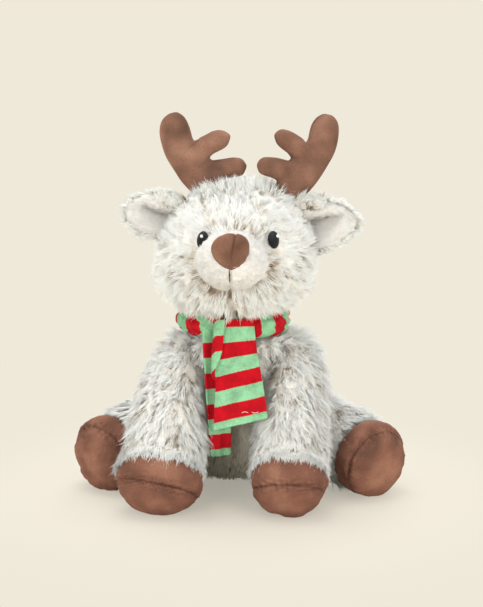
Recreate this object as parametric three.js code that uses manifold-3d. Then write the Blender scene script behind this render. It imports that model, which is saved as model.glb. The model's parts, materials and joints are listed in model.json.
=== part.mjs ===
// A seated plush deer with a striped scarf, sewn from long-pile and short-pile fabric and stuffed with fibre.
// Millimetres, +Z up. The face looks along -Y and the deer's own left is +X. Sizes below are from the middle
// of the body's seat. Solids follow the pile at about its middle depth, not the fabric's backing.
import * as THREE from "three";
import { mergeVertices } from "three/addons/utils/BufferGeometryUtils.js";
import Module from "manifold-3d";

const wasm = await Module();
wasm.setup();

// Between pieces that touch, and between a moving piece and what it is sewn to.
const gap = 0.3;
const swingGap = 0.5;
const mergeReach = 1e-3;
// How far cutting blocks run past what they cut.
const overrun = 40;
// Angles tried when a place on a curved skin is looked for.
const searchSteps = 90;

// Fabric with its pile, as the covers' wall.
const coverWall = 4;

// Body: a pear that leans forward, flat where it sits.
const seatCutDepth = 0.5;
const torsoHeight = 139;
const torsoHalfWidth = 84;
const torsoHalfDepth = 66;
const torsoLean = 24;
const torsoSides = 20;
// Shares of the height, half width, half depth and lean, from the seat up.
const torsoShares = [
  [0.0, 0.52, 0.5, 0.0],
  [0.045, 0.76, 0.76, 0.0],
  [0.13, 0.92, 0.92, 0.02],
  [0.28, 1.0, 1.0, 0.1],
  [0.5, 0.97, 0.94, 0.28],
  [0.7, 0.87, 0.82, 0.58],
  [0.85, 0.73, 0.7, 0.84],
  [0.94, 0.6, 0.62, 0.96],
  [1.0, 0.49, 0.57, 1.0],
];
const neckOpeningRadius = 28;
const shoulderHeight = torsoHeight - seatCutDepth;

// Weighted pouch of pellets that keeps the toy sitting.
const pouchHeight = 26;

// Short-pile panel low on the belly, between the front legs.
const bellyPanelHalfWidth = 36;
const bellyPanelHeight = 86;
const bellyPanelSetForward = 30;

// Scarf: one strip of printed velour, bunched round the neck, with two hanging ends.
const scarfRoll = 11.5;
const scarfHeight = 21;
const scarfRise = 1.5;
const scarfBase = shoulderHeight + scarfRise;
const scarfClearance = 0.5;
const scarfAround = 28;
const scarfSides = 10;
// The loop is bunched on the deer's right and folded along its outer middle.
const scarfBunch = 9;
const bunchSharpness = 4;
const scarfCrease = 2;
const creaseSharpness = 8;
const scarfThickness = 4;
// The front end is as wide as the scarf at its foot. Each end leaves the loop on the deer's right, drifts to
// its left and drops to a foot that stands off the body's front.
const scarfWidth = 46;
const frontEndAside = 2;
const frontEndUpShare = 0.881;
const frontEndDrift = 5.5;
const frontEndStandoff = 40;
const frontEndDrop = 83.5;
const frontLiftDegrees = 35;
// Shares of the drift, of the way forwards to the foot, of the drop and of the width.
const frontEndShares = [
  [0, 0, 0, 0.66],
  [0, 0.06, 0.138, 0.7],
  [0.133, 0.262, 0.365, 0.78],
  [0.533, 0.53, 0.605, 0.86],
  [0.8, 0.799, 0.82, 0.94],
  [1, 1, 1, 1],
];
const backEndWidth = 23;
const backEndAside = 21;
const backEndUpShare = 0.38;
const backEndDrift = 10;
const backEndStandoff = 19;
const backEndDrop = 106;
const backEndTurnDegrees = 30;
const backLiftDegrees = 20;
const backEndShares = [
  [0, 0, 0, 1],
  [0.1, 0.167, 0.113, 1],
  [0.4, 0.5, 0.34, 1],
  [0.7, 0.75, 0.566, 1],
  [0.9, 0.917, 0.792, 1],
  [1, 1, 1, 1],
];
// An end's section: shares of the half width and half thickness. The front end's right edge is folded under.
const edgeShare = 0.94;
const foldShare = 0.62;
const foldDepthShare = 1.9;
const flatSectionShares = [
  [1, 0],
  [edgeShare, 1],
  [0, 1],
  [-edgeShare, 1],
  [-1, 0],
  [-edgeShare, -1],
  [0, -1],
  [edgeShare, -1],
];
const foldedSectionShares = [
  [1, 0],
  [edgeShare, 1],
  [0, 1],
  [-edgeShare, 1],
  [-1, 0],
  [-edgeShare, -foldDepthShare],
  [-foldShare, -foldDepthShare],
  [-foldShare + 1 - edgeShare, -1],
  [edgeShare, -1],
];

// Head: wide low cheeks and a domed crown, set forward of the neck and just clear of the scarf.
const headClearance = 2;
const headBase = scarfBase + scarfHeight + headClearance;
const headHeight = 109;
const headHalfWidth = 69;
const headHalfDepth = 60;
const headForward = 18;
const headSides = 20;
const headShares = [
  [0.0, 0.6, 0.66, 1.0],
  [0.06, 0.8, 0.83, 1.05],
  [0.16, 0.93, 0.94, 1.1],
  [0.31, 1.0, 1.0, 1.1],
  [0.47, 0.985, 1.0, 1.0],
  [0.63, 0.93, 0.95, 0.85],
  [0.77, 0.83, 0.83, 0.65],
  [0.88, 0.68, 0.68, 0.5],
  [0.955, 0.48, 0.5, 0.4],
  [1.0, 0.24, 0.26, 0.35],
];

// Neck: a stuffed stub that turns on the body, with a ball end inside the head.
const neckRadius = 36;
const neckBallDrop = 13;
const neckBallHeight = headBase - neckBallDrop;
const neckSides = 24;
const neckArcSteps = 6;
// Between the neck's ball and the head, which has flats on both.
const ballGap = 0.8;
const neckTurnDegrees = 20;
const neckNodDegrees = 12;

// Muzzle: a short-pile pad with two cheeks and a cleft under the nose.
const muzzleUpShare = 0.3945;
const muzzleHeight = headBase + headHeight * muzzleUpShare;
const muzzleHalfWidth = 31;
const muzzleHalfHeight = 24;
const muzzleReach = 34;
const muzzleSunk = 14;
const muzzleSides = 20;
const muzzleCleftShare = 0.13;
const cleftSharpness = 16;
const muzzleShares = [
  [0.0, 1.0],
  [0.3, 1.0],
  [0.55, 0.94],
  [0.76, 0.78],
  [0.91, 0.52],
  [1.0, 0.2],
];

// Nose: a stuffed cap, wide above and drawn to a point below.
const noseHalfWidth = 15.5;
const noseHalfHeight = 13.5;
const noseProud = 3;
const noseSunk = 8;
const noseRise = 15;
const noseSides = 14;
const nosePointShare = 0.28;
const nosePointSharpness = 8;
const noseShares = [
  [0.0, 0.92],
  [0.35, 1.0],
  [0.65, 0.9],
  [0.87, 0.62],
  [1.0, 0.25],
];

// Mouth: one line of dark thread below the nose.
const threadRadius = 0.9;
const mouthLength = 9;
const threadSides = 6;
const mouthSteps = 4;

// Eyes: raised embroidery with a small pale highlight.
const eyeUpShare = 0.578;
const eyeHeight = headBase + headHeight * eyeUpShare;
const rightEyeSpread = 28;
const leftEyeSpread = 30;
const eyeSpread = { right: rightEyeSpread, left: leftEyeSpread };
const eyeHalfWidth = 5;
const eyeHalfHeight = 7;
const eyeRaise = 2.6;
const eyeSides = 10;
const eyeRings = 6;
const highlightRadius = 1.5;
const highlightRaise = 1.6;
const highlightUp = 2.6;
const highlightAside = 1.2;

// Ears: a cupped leaf of long-pile fabric with a short-pile lining.
const earLength = 49;
const rightEarHalfWidth = 21;
const leftEarHalfWidth = 24;
const earHalfWidth = { right: rightEarHalfWidth, left: leftEarHalfWidth };
const earBackWall = 4;
const earLiningWall = 2;
const earUpShare = 0.743;
const earHeight = headBase + headHeight * earUpShare;
const earSteps = 7;
const earAcrossSteps = 6;
const earRootCurl = 1.7;
const earTipCurl = 0.7;
const earSunk = 6;
// Shares of the half width from the root to the tip.
const earShares = [0.5, 0.74, 0.92, 1.0, 0.97, 0.82, 0.56, 0.2];
const earFlapDegrees = 20;
const earLift = { right: 0, left: -12 };
const earToe = { right: -8, left: -12 };

// Antlers: a curved beam and two tines, flat and stuffed.
const antlerHeight = 65;
const antlerThickness = 22;
const antlerBeamHalfWidth = 14;
const antlerTineHalfWidth = 9;
const antlerSides = 10;
const rightAntlerSpread = 30;
const leftAntlerSpread = 45;
const antlerSpread = { right: rightAntlerSpread, left: leftAntlerSpread };
const antlerForward = 6;
const leftAntlerRaise = 8;
const antlerRaise = { right: 0, left: leftAntlerRaise };
const antlerBendDegrees = 15;
// In the antler's own plane: towards the head's middle and up, as shares of its height, then the half width's
// and the thickness's shares.
const beamShares = [
  [0.06, -0.16, 0.95, 0.9],
  [0.02, -0.02, 1.05, 0.96],
  [-0.04, 0.1, 1.15, 0.96],
  [-0.16, 0.24, 1.14, 1.0],
  [-0.29, 0.4, 1.02, 1.0],
  [-0.38, 0.56, 0.98, 1.0],
  [-0.41, 0.72, 0.98, 1.0],
  [-0.41, 0.85, 0.84, 0.88],
  [-0.4, 0.94, 0.52, 0.62],
  [-0.39, 0.975, 0.2, 0.3],
];
const upperTineShares = [
  [-0.3, 0.34, 1.2, 0.8],
  [-0.12, 0.44, 1.15, 0.9],
  [0.04, 0.55, 1.0, 0.86],
  [0.16, 0.62, 0.98, 0.8],
  [0.25, 0.655, 0.78, 0.66],
  [0.31, 0.67, 0.3, 0.34],
];
const lowerTineShares = [
  [-0.16, 0.1, 1.2, 0.8],
  [0.08, 0.18, 1.15, 0.9],
  [0.26, 0.235, 1.0, 0.86],
  [0.39, 0.26, 0.98, 0.8],
  [0.48, 0.27, 0.78, 0.66],
  [0.53, 0.275, 0.3, 0.34],
];
// Degrees that each antler leans outwards, and turns about the vertical, as the photographed toy's do.
const antlerLean = { right: 0, left: 4 };
const antlerTwist = { right: 0, left: 28 };

// Limbs: a furry leg, then a hoof of short velvety fabric with its own sole.
const limbSides = 12;
const frontLegRadius = 35;
// Where the leg is sewn on: shares of the body's half width, half depth and height.
const frontSeatShares = { out: 0.643, forward: 0.606, up: 0.852 };
// From there to the hoof's middle: how far forwards, and how far outwards.
const frontLegReach = 72;
const rightFrontSplay = 12;
const leftFrontTuck = 4.5;
const frontLegSplay = { right: rightFrontSplay, left: -leftFrontTuck };
// The photographed toy's right front hoof is broader than its left.
const frontBreadthShare = { right: 1.1, left: 1 };
const frontHoofTip = 26;
const frontSwingDegrees = 40;
const frontSwingShares = { up: 0.5, out: 1 };
// Shares along the line from the seam to the hoof's middle: out, forward, down; then the radius.
const frontLegShares = [
  [-0.02, -0.1, -0.17, 0.42],
  [0.0, -0.05, -0.1, 0.66],
  [0.1, 0.05, 0.02, 0.86],
  [0.35, 0.22, 0.24, 0.96],
  [0.6, 0.46, 0.48, 1.0],
  [0.8, 0.7, 0.72, 0.98],
  [0.95, 0.87, 0.92, 0.9],
  [1.0, 1.0, 1.0, 0.92],
];
// The hoof beyond its middle: shares of the tip's reach, and of the radius.
const hoofTipShares = [
  [0.38, 0.86],
  [0.7, 0.68],
  [0.92, 0.4],
];
const frontHemShare = 0.8;
// How much of its radius the hoof's middle stands above the floor.
const frontSettleShare = 0.976;
// The way that a hoof points.
const frontToeShares = { out: 0, forward: 0.98, down: 0.2 };

const rearLegRadius = 38;
const rearSeatShares = { out: 0.69, forward: 0.03, up: 0.332 };
const rightRearReach = 40;
const leftRearReach = 49;
const rearLegReach = { right: rightRearReach, left: leftRearReach };
const rightRearSplay = 53;
const leftRearSplay = 54;
const rearLegSplay = { right: rightRearSplay, left: leftRearSplay };
const rearBreadthShare = 1;
const rearHoofTip = 27;
const rearSwingDegrees = 25;
const rearLegShares = [
  [-0.3, -0.3, 0.0, 0.5],
  [-0.2, -0.2, 0.0, 0.84],
  [0.05, 0.0, 0.05, 1.0],
  [0.3, 0.22, 0.25, 0.98],
  [0.55, 0.46, 0.55, 0.92],
  [0.78, 0.7, 0.85, 0.86],
  [0.92, 0.88, 1.0, 0.83],
  [1.0, 1.0, 1.0, 0.87],
];
const rearHemShare = 0.74;
const rearSettleShare = 1;
const rearToeShares = { out: 0.6, forward: 0.8, down: 0 };
// How far before the tip the sole's seam crosses, and its tilt from the limb's own line.
const soleSet = 13;
const frontSoleTiltDegrees = -43;
const rearSoleTiltDegrees = -12;

// Tail: a small tuft low on the back.
const tailLength = 34;
const tailRadius = 11;
const tailUpShare = 0.334;
const tailSides = 10;
const tailSwingDegrees = 20;
const tailSunkShare = 0.4;
const tailWayShares = { back: 0.62, up: 0.78 };
const tailShares = [
  [0.0, 0.7],
  [0.3, 1.0],
  [0.6, 0.92],
  [0.85, 0.6],
  [1.0, 0.25],
];

// Colours read from the photographed fabrics.
const finishes = {
  longPile: { color: 0xe9e6dd, roughness: 0.95, metalness: 0 },
  bellyPile: { color: 0x9b968a, roughness: 0.95, metalness: 0 },
  shortPile: { color: 0xece7da, roughness: 0.9, metalness: 0 },
  brownVelour: { color: 0x7d5646, roughness: 0.85, metalness: 0 },
  darkThread: { color: 0x1d1f24, roughness: 0.6, metalness: 0 },
  whiteThread: { color: 0xf4f4f2, roughness: 0.6, metalness: 0 },
  scarfVelour: { color: 0xb3202c, roughness: 0.8, metalness: 0 },
  fibre: { color: 0xf3f3f0, roughness: 1, metalness: 0 },
  pelletCloth: { color: 0xd8d4c8, roughness: 0.9, metalness: 0 },
};

const turn = THREE.MathUtils.degToRad;
const vector = (x, y, z) => new THREE.Vector3(x, y, z);
const upward = vector(0, 0, 1);
const sideways = vector(1, 0, 0);
const backward = vector(0, 1, 0);
// The deer's own right is at -X.
const sides = { right: -1, left: 1 };

// A closed mesh as a solid that can be cut and joined.
function solidOf(geometry) {
  const loose = geometry.index ? geometry.toNonIndexed() : geometry;
  const bare = new THREE.BufferGeometry().setAttribute("position", loose.getAttribute("position"));
  const merged = mergeVertices(bare, mergeReach);
  return new wasm.Manifold(
    new wasm.Mesh({
      numProp: 3,
      vertProperties: merged.attributes.position.array,
      triVerts: new Uint32Array(merged.index.array),
    }),
  );
}

function geometryOf(solid) {
  const mesh = solid.getMesh();
  const geometry = new THREE.BufferGeometry();
  geometry.setAttribute("position", new THREE.BufferAttribute(mesh.vertProperties, mesh.numProp));
  geometry.setIndex(new THREE.BufferAttribute(mesh.triVerts, 1));
  geometry.computeVertexNormals();
  return geometry;
}

// The solid turned by an angle about a line.
function turned(solid, pivot, axis, angle) {
  const matrix = new THREE.Matrix4()
    .makeTranslation(pivot.x, pivot.y, pivot.z)
    .multiply(new THREE.Matrix4().makeRotationAxis(axis, angle))
    .multiply(new THREE.Matrix4().makeTranslation(-pivot.x, -pivot.y, -pivot.z));
  return solid.transform(matrix.elements);
}

// Rings of points closed by a flat cap at each end, or joined end to end, with the faces outwards.
function skinOfRings(rings, closedLoop = false) {
  const count = rings[0].length;
  const points = rings.flat();
  const triangles = [];
  const at = (ring, side) => (ring % rings.length) * count + (side % count);
  const bands = closedLoop ? rings.length : rings.length - 1;
  for (let ring = 0; ring < bands; ring++) {
    for (let side = 0; side < count; side++) {
      triangles.push(at(ring, side), at(ring, side + 1), at(ring + 1, side + 1));
      triangles.push(at(ring, side), at(ring + 1, side + 1), at(ring + 1, side));
    }
  }
  if (!closedLoop) {
    const middleOf = (ring) =>
      ring.reduce((sum, p) => sum.add(p), vector(0, 0, 0)).divideScalar(ring.length);
    const last = rings.length - 1;
    points.push(middleOf(rings[0]), middleOf(rings[last]));
    for (let side = 0; side < count; side++) {
      triangles.push(points.length - 2, at(0, side + 1), at(0, side));
      triangles.push(points.length - 1, at(last, side), at(last, side + 1));
    }
  }
  const geometry = new THREE.BufferGeometry().setFromPoints(points);
  geometry.setIndex(triangles);
  return solidOf(geometry);
}

// A stuffed form: oval rings at its stations. outline bends the oval, by angle, into the piece's own section.
class StuffedForm {
  constructor(stations, ringSides, outline = () => 1) {
    this.stations = stations;
    this.ringSides = ringSides;
    this.outline = outline;
  }

  ringPoint(station, angle, inset) {
    const bend = this.outline(angle, station);
    return station.middle
      .clone()
      .addScaledVector(station.across, (station.halfAcross * bend - inset) * Math.cos(angle))
      .addScaledVector(station.through, (station.halfThrough * bend - inset) * Math.sin(angle));
  }

  // The skin as a solid, all of it moved inwards by the inset, or outwards if that is negative.
  solid(inset = 0) {
    const last = this.stations.length - 1;
    const rings = this.stations.map((station, index) => {
      const moved = { ...station, middle: station.middle.clone() };
      if (index === 0) moved.middle.addScaledVector(station.along, inset);
      if (index === last) moved.middle.addScaledVector(station.along, -inset);
      return Array.from({ length: this.ringSides }, (_, side) =>
        this.ringPoint(moved, (2 * Math.PI * side) / this.ringSides, inset),
      );
    });
    return skinOfRings(rings);
  }

  // A point of the skin at a height, for a form whose rings lie flat.
  atHeight(height, angle) {
    const above = this.stations.findIndex((station) => station.middle.z > height);
    const [low, high] = [this.stations[above - 1], this.stations[above]];
    const share = (height - low.middle.z) / (high.middle.z - low.middle.z);
    return this.ringPoint(low, angle, 0).lerp(this.ringPoint(high, angle, 0), share);
  }

  // The angle at which the skin at a height reaches a distance sideways, on the side that faces forwards.
  angleForReach(height, reach) {
    let best = 0;
    for (let step = 0; step <= searchSteps; step++) {
      const angle = (-Math.PI / 2) * (step / searchSteps);
      const miss = (a) => Math.abs(this.atHeight(height, a).x - reach);
      if (miss(angle) < miss(best)) best = angle;
    }
    return best;
  }
}

// Level rings one above the other.
function levelForm(shares, base, height, halfWidth, halfDepth, centreY, lean, ringSides) {
  const stations = shares.map(([up, wide, deep, forward]) => ({
    middle: vector(0, centreY - lean * forward, base + height * up),
    across: sideways,
    through: backward,
    along: upward,
    halfAcross: halfWidth * wide,
    halfThrough: halfDepth * deep,
  }));
  return new StuffedForm(stations, ringSides);
}

// Rings square to a line of points, each with its own radius. A flat piece also has the way its thickness
// runs, and the half thickness at each ring.
function lineForm(points, radii, ringSides, flatWay = null, halfThicknesses = radii) {
  const stations = points.map((point, index) => {
    const before = points[Math.max(index - 1, 0)];
    const after = points[Math.min(index + 1, points.length - 1)];
    const along = after.clone().sub(before).normalize();
    const across = flatWay ? flatWay.clone() : along.clone().cross(upward);
    across.addScaledVector(along, -across.dot(along)).normalize();
    const through = along.clone().cross(across);
    const [halfAcross, halfThrough] = [halfThicknesses[index], radii[index]];
    return { middle: point, across, through, along, halfAcross, halfThrough };
  });
  return new StuffedForm(stations, ringSides);
}

// A sewn-on piece is cut back where the larger piece would reach into it between its joint's limits.
function clearOf(piece, larger, joint) {
  const [low, high] = joint.range;
  return [0, low, (low + high) / 2, high].reduce(
    (rest, degrees) => rest.subtract(turned(larger, joint.pivot, joint.axis, -turn(degrees))),
    piece,
  );
}

const joints = [];
function joint(name, parent, child, pivot, axis, range) {
  const made = { name, parent, child, pivot, axis: axis.clone().normalize(), range };
  joints.push(made);
  return made;
}

const deer = new THREE.Group();
const bodies = {};
function place(body, name, solid, finish) {
  const mesh = new THREE.Mesh(geometryOf(solid), new THREE.MeshStandardMaterial(finishes[finish]));
  mesh.name = name;
  deer.add(mesh);
  (bodies[body] ??= []).push(name);
}

// A block whose lower corner and size are given.
function block(corner, size) {
  const box = new THREE.BoxGeometry(size.x, size.y, size.z);
  return solidOf(box.translate(corner.x + size.x / 2, corner.y + size.y / 2, corner.z + size.z / 2));
}

// The body's cover is a shell open at the neck; the stuffing and the pellet pouch lie inside it.
const torso = levelForm(
  torsoShares,
  -seatCutDepth,
  torsoHeight,
  torsoHalfWidth,
  torsoHalfDepth,
  0,
  torsoLean,
  torsoSides,
);
const floorNormal = [0, 0, 1];
const torsoSkin = torso.solid().trimByPlane(floorNormal, 0);
const torsoGrown = torso.solid(-swingGap);
const neckAxis = vector(0, -torsoLean, 0);

function addTorso() {
  const opening = new THREE.CylinderGeometry(neckOpeningRadius, neckOpeningRadius, overrun, neckSides);
  opening.rotateX(Math.PI / 2).translate(neckAxis.x, neckAxis.y, shoulderHeight);
  const shell = torsoSkin
    .subtract(torso.solid(coverWall).trimByPlane(floorNormal, coverWall))
    .subtract(solidOf(opening));
  const panelBlock = (grow) =>
    block(
      vector(-bellyPanelHalfWidth - grow, -torsoHalfDepth - torsoLean - overrun, -overrun),
      vector(
        2 * (bellyPanelHalfWidth + grow),
        torsoHalfDepth + torsoLean + overrun - bellyPanelSetForward + grow,
        bellyPanelHeight + overrun + grow,
      ),
    );
  place("torso", "body_cover", shell.subtract(panelBlock(gap)), "longPile");
  place("torso", "belly_panel", shell.intersect(panelBlock(0)), "bellyPile");
  const inside = torso.solid(coverWall + gap).trimByPlane(floorNormal, coverWall + gap);
  const pouchTop = coverWall + pouchHeight;
  place("torso", "pellet_pouch", inside.trimByPlane([0, 0, -1], -pouchTop), "pelletCloth");
  place("torso", "body_stuffing", inside.trimByPlane(floorNormal, pouchTop + gap), "fibre");
}

// The neck's foot turns on the shoulders, and the head nods on its ball.
const neckCentre = neckAxis.clone().setZ(neckBallHeight);
joint("head_turn", "torso", "neck", neckCentre, upward, [-neckTurnDegrees, neckTurnDegrees]);
joint("head_nod", "neck", "head", neckCentre, sideways.clone().negate(), [0, neckNodDegrees]);

function neckSolid(grow) {
  const foot = shoulderHeight + gap - neckBallHeight;
  const radius = neckRadius + grow;
  const profile = [new THREE.Vector2(0, foot - grow), new THREE.Vector2(radius, foot - grow)];
  for (let step = 0; step <= neckArcSteps; step++) {
    const rise = (Math.PI / 2) * (step / neckArcSteps);
    const out = step === neckArcSteps ? 0 : radius * Math.cos(rise);
    profile.push(new THREE.Vector2(out, radius * Math.sin(rise)));
  }
  const lathe = new THREE.LatheGeometry(profile, neckSides).rotateX(Math.PI / 2);
  return solidOf(lathe.translate(neckCentre.x, neckCentre.y, neckCentre.z));
}

// The head's cover is a shell open at the neck.
const head = levelForm(
  headShares,
  headBase,
  headHeight,
  headHalfWidth,
  headHalfDepth,
  -torsoLean,
  headForward,
  headSides,
);
const headTouching = head.solid(-gap);
const headGrown = head.solid(-swingGap);

function addNeckAndHead() {
  place("neck", "neck", neckSolid(0), "fibre");
  const socket = neckSolid(ballGap);
  const cover = head.solid().subtract(head.solid(coverWall)).subtract(socket);
  place("head", "head_cover", cover, "longPile");
  place("head", "head_stuffing", head.solid(coverWall + gap).subtract(socket), "fibre");
}

// The muzzle's rings stand upright and shrink towards the front. Its lower middle is drawn in as a cleft.
const front = -Math.PI / 2;
const muzzleRoot = head.atHeight(muzzleHeight, front);
const cleft = (angle, station) => {
  const below = Math.max(0, Math.cos(angle - front));
  return 1 - muzzleCleftShare * station.forwardShare * below ** cleftSharpness;
};
const muzzle = new StuffedForm(
  muzzleShares.map(([forward, wide]) => ({
    middle: vector(0, muzzleRoot.y + muzzleSunk - (muzzleReach + muzzleSunk) * forward, muzzleHeight),
    across: sideways,
    through: upward,
    along: backward.clone().negate(),
    halfAcross: muzzleHalfWidth * wide,
    halfThrough: muzzleHalfHeight * wide,
    forwardShare: forward,
  })),
  muzzleSides,
  cleft,
);

// The nose sits on the upper front of the muzzle and comes to a point below.
const noseTip = muzzleRoot.y - muzzleReach;
const nose = new StuffedForm(
  noseShares.map(([forward, wide]) => ({
    middle: vector(0, noseTip + noseSunk - (noseProud + noseSunk) * forward, muzzleHeight + noseRise),
    across: sideways,
    through: upward,
    along: backward.clone().negate(),
    halfAcross: noseHalfWidth * wide,
    halfThrough: noseHalfHeight * wide,
  })),
  noseSides,
  (angle) => 1 + nosePointShare * Math.max(0, Math.cos(angle - front)) ** nosePointSharpness,
);

function addMuzzle() {
  place("head", "muzzle", muzzle.solid().subtract(headTouching), "shortPile");
  place("head", "nose", nose.solid().subtract(muzzle.solid(-gap)).subtract(headTouching), "brownVelour");
}

// The muzzle's skin on its middle line, at a height below its centre.
function muzzleFrontAt(height) {
  const reach = (station) => muzzleHeight - muzzle.ringPoint(station, front, 0).z;
  const drop = muzzleHeight - height;
  const past = muzzle.stations.findIndex((station) => reach(station) < drop);
  if (past < 1) return muzzle.stations.at(-1).middle.clone().setZ(height);
  const [near, far] = [muzzle.stations[past - 1], muzzle.stations[past]];
  const share = (reach(near) - drop) / (reach(near) - reach(far));
  return near.middle.clone().lerp(far.middle, share).setZ(height);
}

// The thread lies on the muzzle's front, from the nose's point down.
function addMouth() {
  const noseFoot = muzzleHeight + noseRise - noseHalfHeight * (1 + nosePointShare);
  const line = Array.from({ length: mouthSteps + 1 }, (_, step) => {
    const point = muzzleFrontAt(noseFoot - gap - threadRadius - (mouthLength * step) / mouthSteps);
    return point.setY(point.y - gap);
  });
  const thread = lineForm(line, line.map(() => threadRadius), threadSides, sideways);
  const solid = thread.solid().subtract(muzzle.solid(-gap)).subtract(nose.solid(-gap));
  place("head", "mouth_stitch", solid, "darkThread");
}

// An eye is a shallow raised oval on the head's skin, with a highlight on its upper front.
function addEye(side) {
  const angle = head.angleForReach(eyeHeight, eyeSpread[side]);
  const spot = head.atHeight(eyeHeight, angle);
  spot.x *= sides[side];
  const outwards = spot.clone().sub(vector(0, -torsoLean - headForward, eyeHeight)).normalize();
  const facing = new THREE.Quaternion().setFromUnitVectors(backward.clone().negate(), outwards);
  const dome = (wide, tall, raise, centre) => {
    const ball = new THREE.SphereGeometry(1, eyeSides, eyeRings);
    ball.scale(wide, raise, tall).applyQuaternion(facing);
    return solidOf(ball.translate(centre.x, centre.y, centre.z));
  };
  const patch = dome(eyeHalfWidth, eyeHalfHeight, eyeRaise, spot);
  place("head", `eye_${side}`, patch.subtract(headTouching), "darkThread");
  const aside = outwards.clone().cross(upward).normalize();
  const top = spot
    .clone()
    .addScaledVector(outwards, eyeRaise)
    .addScaledVector(upward, highlightUp)
    .addScaledVector(aside, -highlightAside);
  const dot = dome(highlightRadius, highlightRadius, highlightRaise, top);
  const under = dome(eyeHalfWidth + gap, eyeHalfHeight + gap, eyeRaise + gap, spot);
  place("head", `eye_highlight_${side}`, dot.subtract(under).subtract(headTouching), "whiteThread");
}

// An ear is a leaf curled about its length, thick outwards as its furry back and thin inwards as its lining.
function earSheet(root, out, forward, side, from, to) {
  const rise = out.clone().cross(forward).multiplyScalar(sides[side]);
  const pointAt = (along, across, depth) => {
    const step = along * (earShares.length - 1);
    const low = Math.min(Math.floor(step), earShares.length - 2);
    const half = earHalfWidth[side] * THREE.MathUtils.lerp(earShares[low], earShares[low + 1], step - low);
    const curl = THREE.MathUtils.lerp(earRootCurl, earTipCurl, along);
    const bend = across * curl;
    const radius = half / curl;
    return root
      .clone()
      .addScaledVector(out, earLength * along)
      .addScaledVector(rise, (radius + depth) * Math.sin(bend))
      .addScaledVector(forward, radius - (radius + depth) * Math.cos(bend));
  };
  const rings = Array.from({ length: earSteps + 1 }, (_, step) => {
    const along = step / earSteps;
    const row = (depth) =>
      Array.from({ length: earAcrossSteps + 1 }, (_, i) =>
        pointAt(along, (2 * i) / earAcrossSteps - 1, depth),
      );
    const loop = [...row(to), ...row(from).reverse()];
    return side === "right" ? loop : loop.reverse();
  });
  return skinOfRings(rings);
}

function addEar(side) {
  const root = head.atHeight(earHeight, 0);
  root.x -= earSunk;
  root.x *= sides[side];
  const lift = turn(earLift[side]);
  const out = vector(sides[side] * Math.cos(lift), 0, Math.sin(lift));
  out.applyAxisAngle(upward, sides[side] * turn(earToe[side]));
  const forward = backward.clone().negate().addScaledVector(out, out.y).normalize();
  const pivot = root.clone().addScaledVector(out, earSunk);
  const axis = backward.clone().multiplyScalar(-sides[side]);
  const limits = [-earFlapDegrees, earFlapDegrees];
  const flap = joint(`ear_${side}_flap`, "head", `ear_${side}`, pivot, axis, limits);
  const back = earSheet(root, out, forward, side, 0, earBackWall);
  const lining = earSheet(root, out, forward, side, -gap - earLiningWall, -gap).subtract(
    earSheet(root, out, forward, side, -gap, earBackWall),
  );
  place(flap.child, `ear_back_${side}`, clearOf(back, headGrown, flap), "longPile");
  place(flap.child, `ear_lining_${side}`, clearOf(lining, headGrown, flap), "shortPile");
}

// An antler is a beam and two tines joined, flat across its own plane.
function addAntler(side) {
  const hand = sides[side];
  const crown = crownPoint(antlerSpread[side]);
  crown.x *= hand;
  const inward = vector(-hand, 0, 0);
  inward.applyAxisAngle(upward, hand * turn(antlerTwist[side]));
  const rise = upward.clone().applyAxisAngle(backward, hand * turn(antlerLean[side]));
  inward.addScaledVector(rise, -inward.dot(rise)).normalize();
  const faceOut = inward.clone().cross(rise).normalize();
  const start = crown.clone().addScaledVector(rise, antlerRaise[side]);
  const branch = (shares, halfWidth) =>
    lineForm(
      shares.map(([aside, up]) =>
        start
          .clone()
          .addScaledVector(inward, antlerHeight * aside)
          .addScaledVector(rise, antlerHeight * up),
      ),
      shares.map((row) => halfWidth * row[2]),
      antlerSides,
      faceOut,
      shares.map((row) => (antlerThickness / 2) * row[3]),
    ).solid();
  const antler = branch(beamShares, antlerBeamHalfWidth)
    .add(branch(upperTineShares, antlerTineHalfWidth))
    .add(branch(lowerTineShares, antlerTineHalfWidth));
  const limits = [-antlerBendDegrees, antlerBendDegrees];
  const bend = joint(`antler_${side}_bend`, "head", `antler_${side}`, crown, sideways, limits);
  place(bend.child, `antler_${side}`, clearOf(antler, headGrown, bend), "brownVelour");
}

// The highest point of the head's skin at a distance to the side of its middle, above the antlers' line.
function crownPoint(spread) {
  const y = -torsoLean - antlerForward;
  const reach = (station) => {
    const off = Math.min(1, Math.abs(y - station.middle.y) / station.halfThrough);
    return station.halfAcross * Math.sqrt(1 - off * off);
  };
  const rings = head.stations;
  const inner = Math.max(1, rings.findLastIndex((station) => reach(station) >= spread) + 1);
  const [low, high] = [rings[inner - 1], rings[Math.min(inner, rings.length - 1)]];
  const past = (reach(low) - spread) / Math.max(reach(low) - reach(high), mergeReach);
  const share = THREE.MathUtils.clamp(past, 0, 1);
  return vector(spread, y, THREE.MathUtils.lerp(low.middle.z, high.middle.z, share));
}

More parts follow.
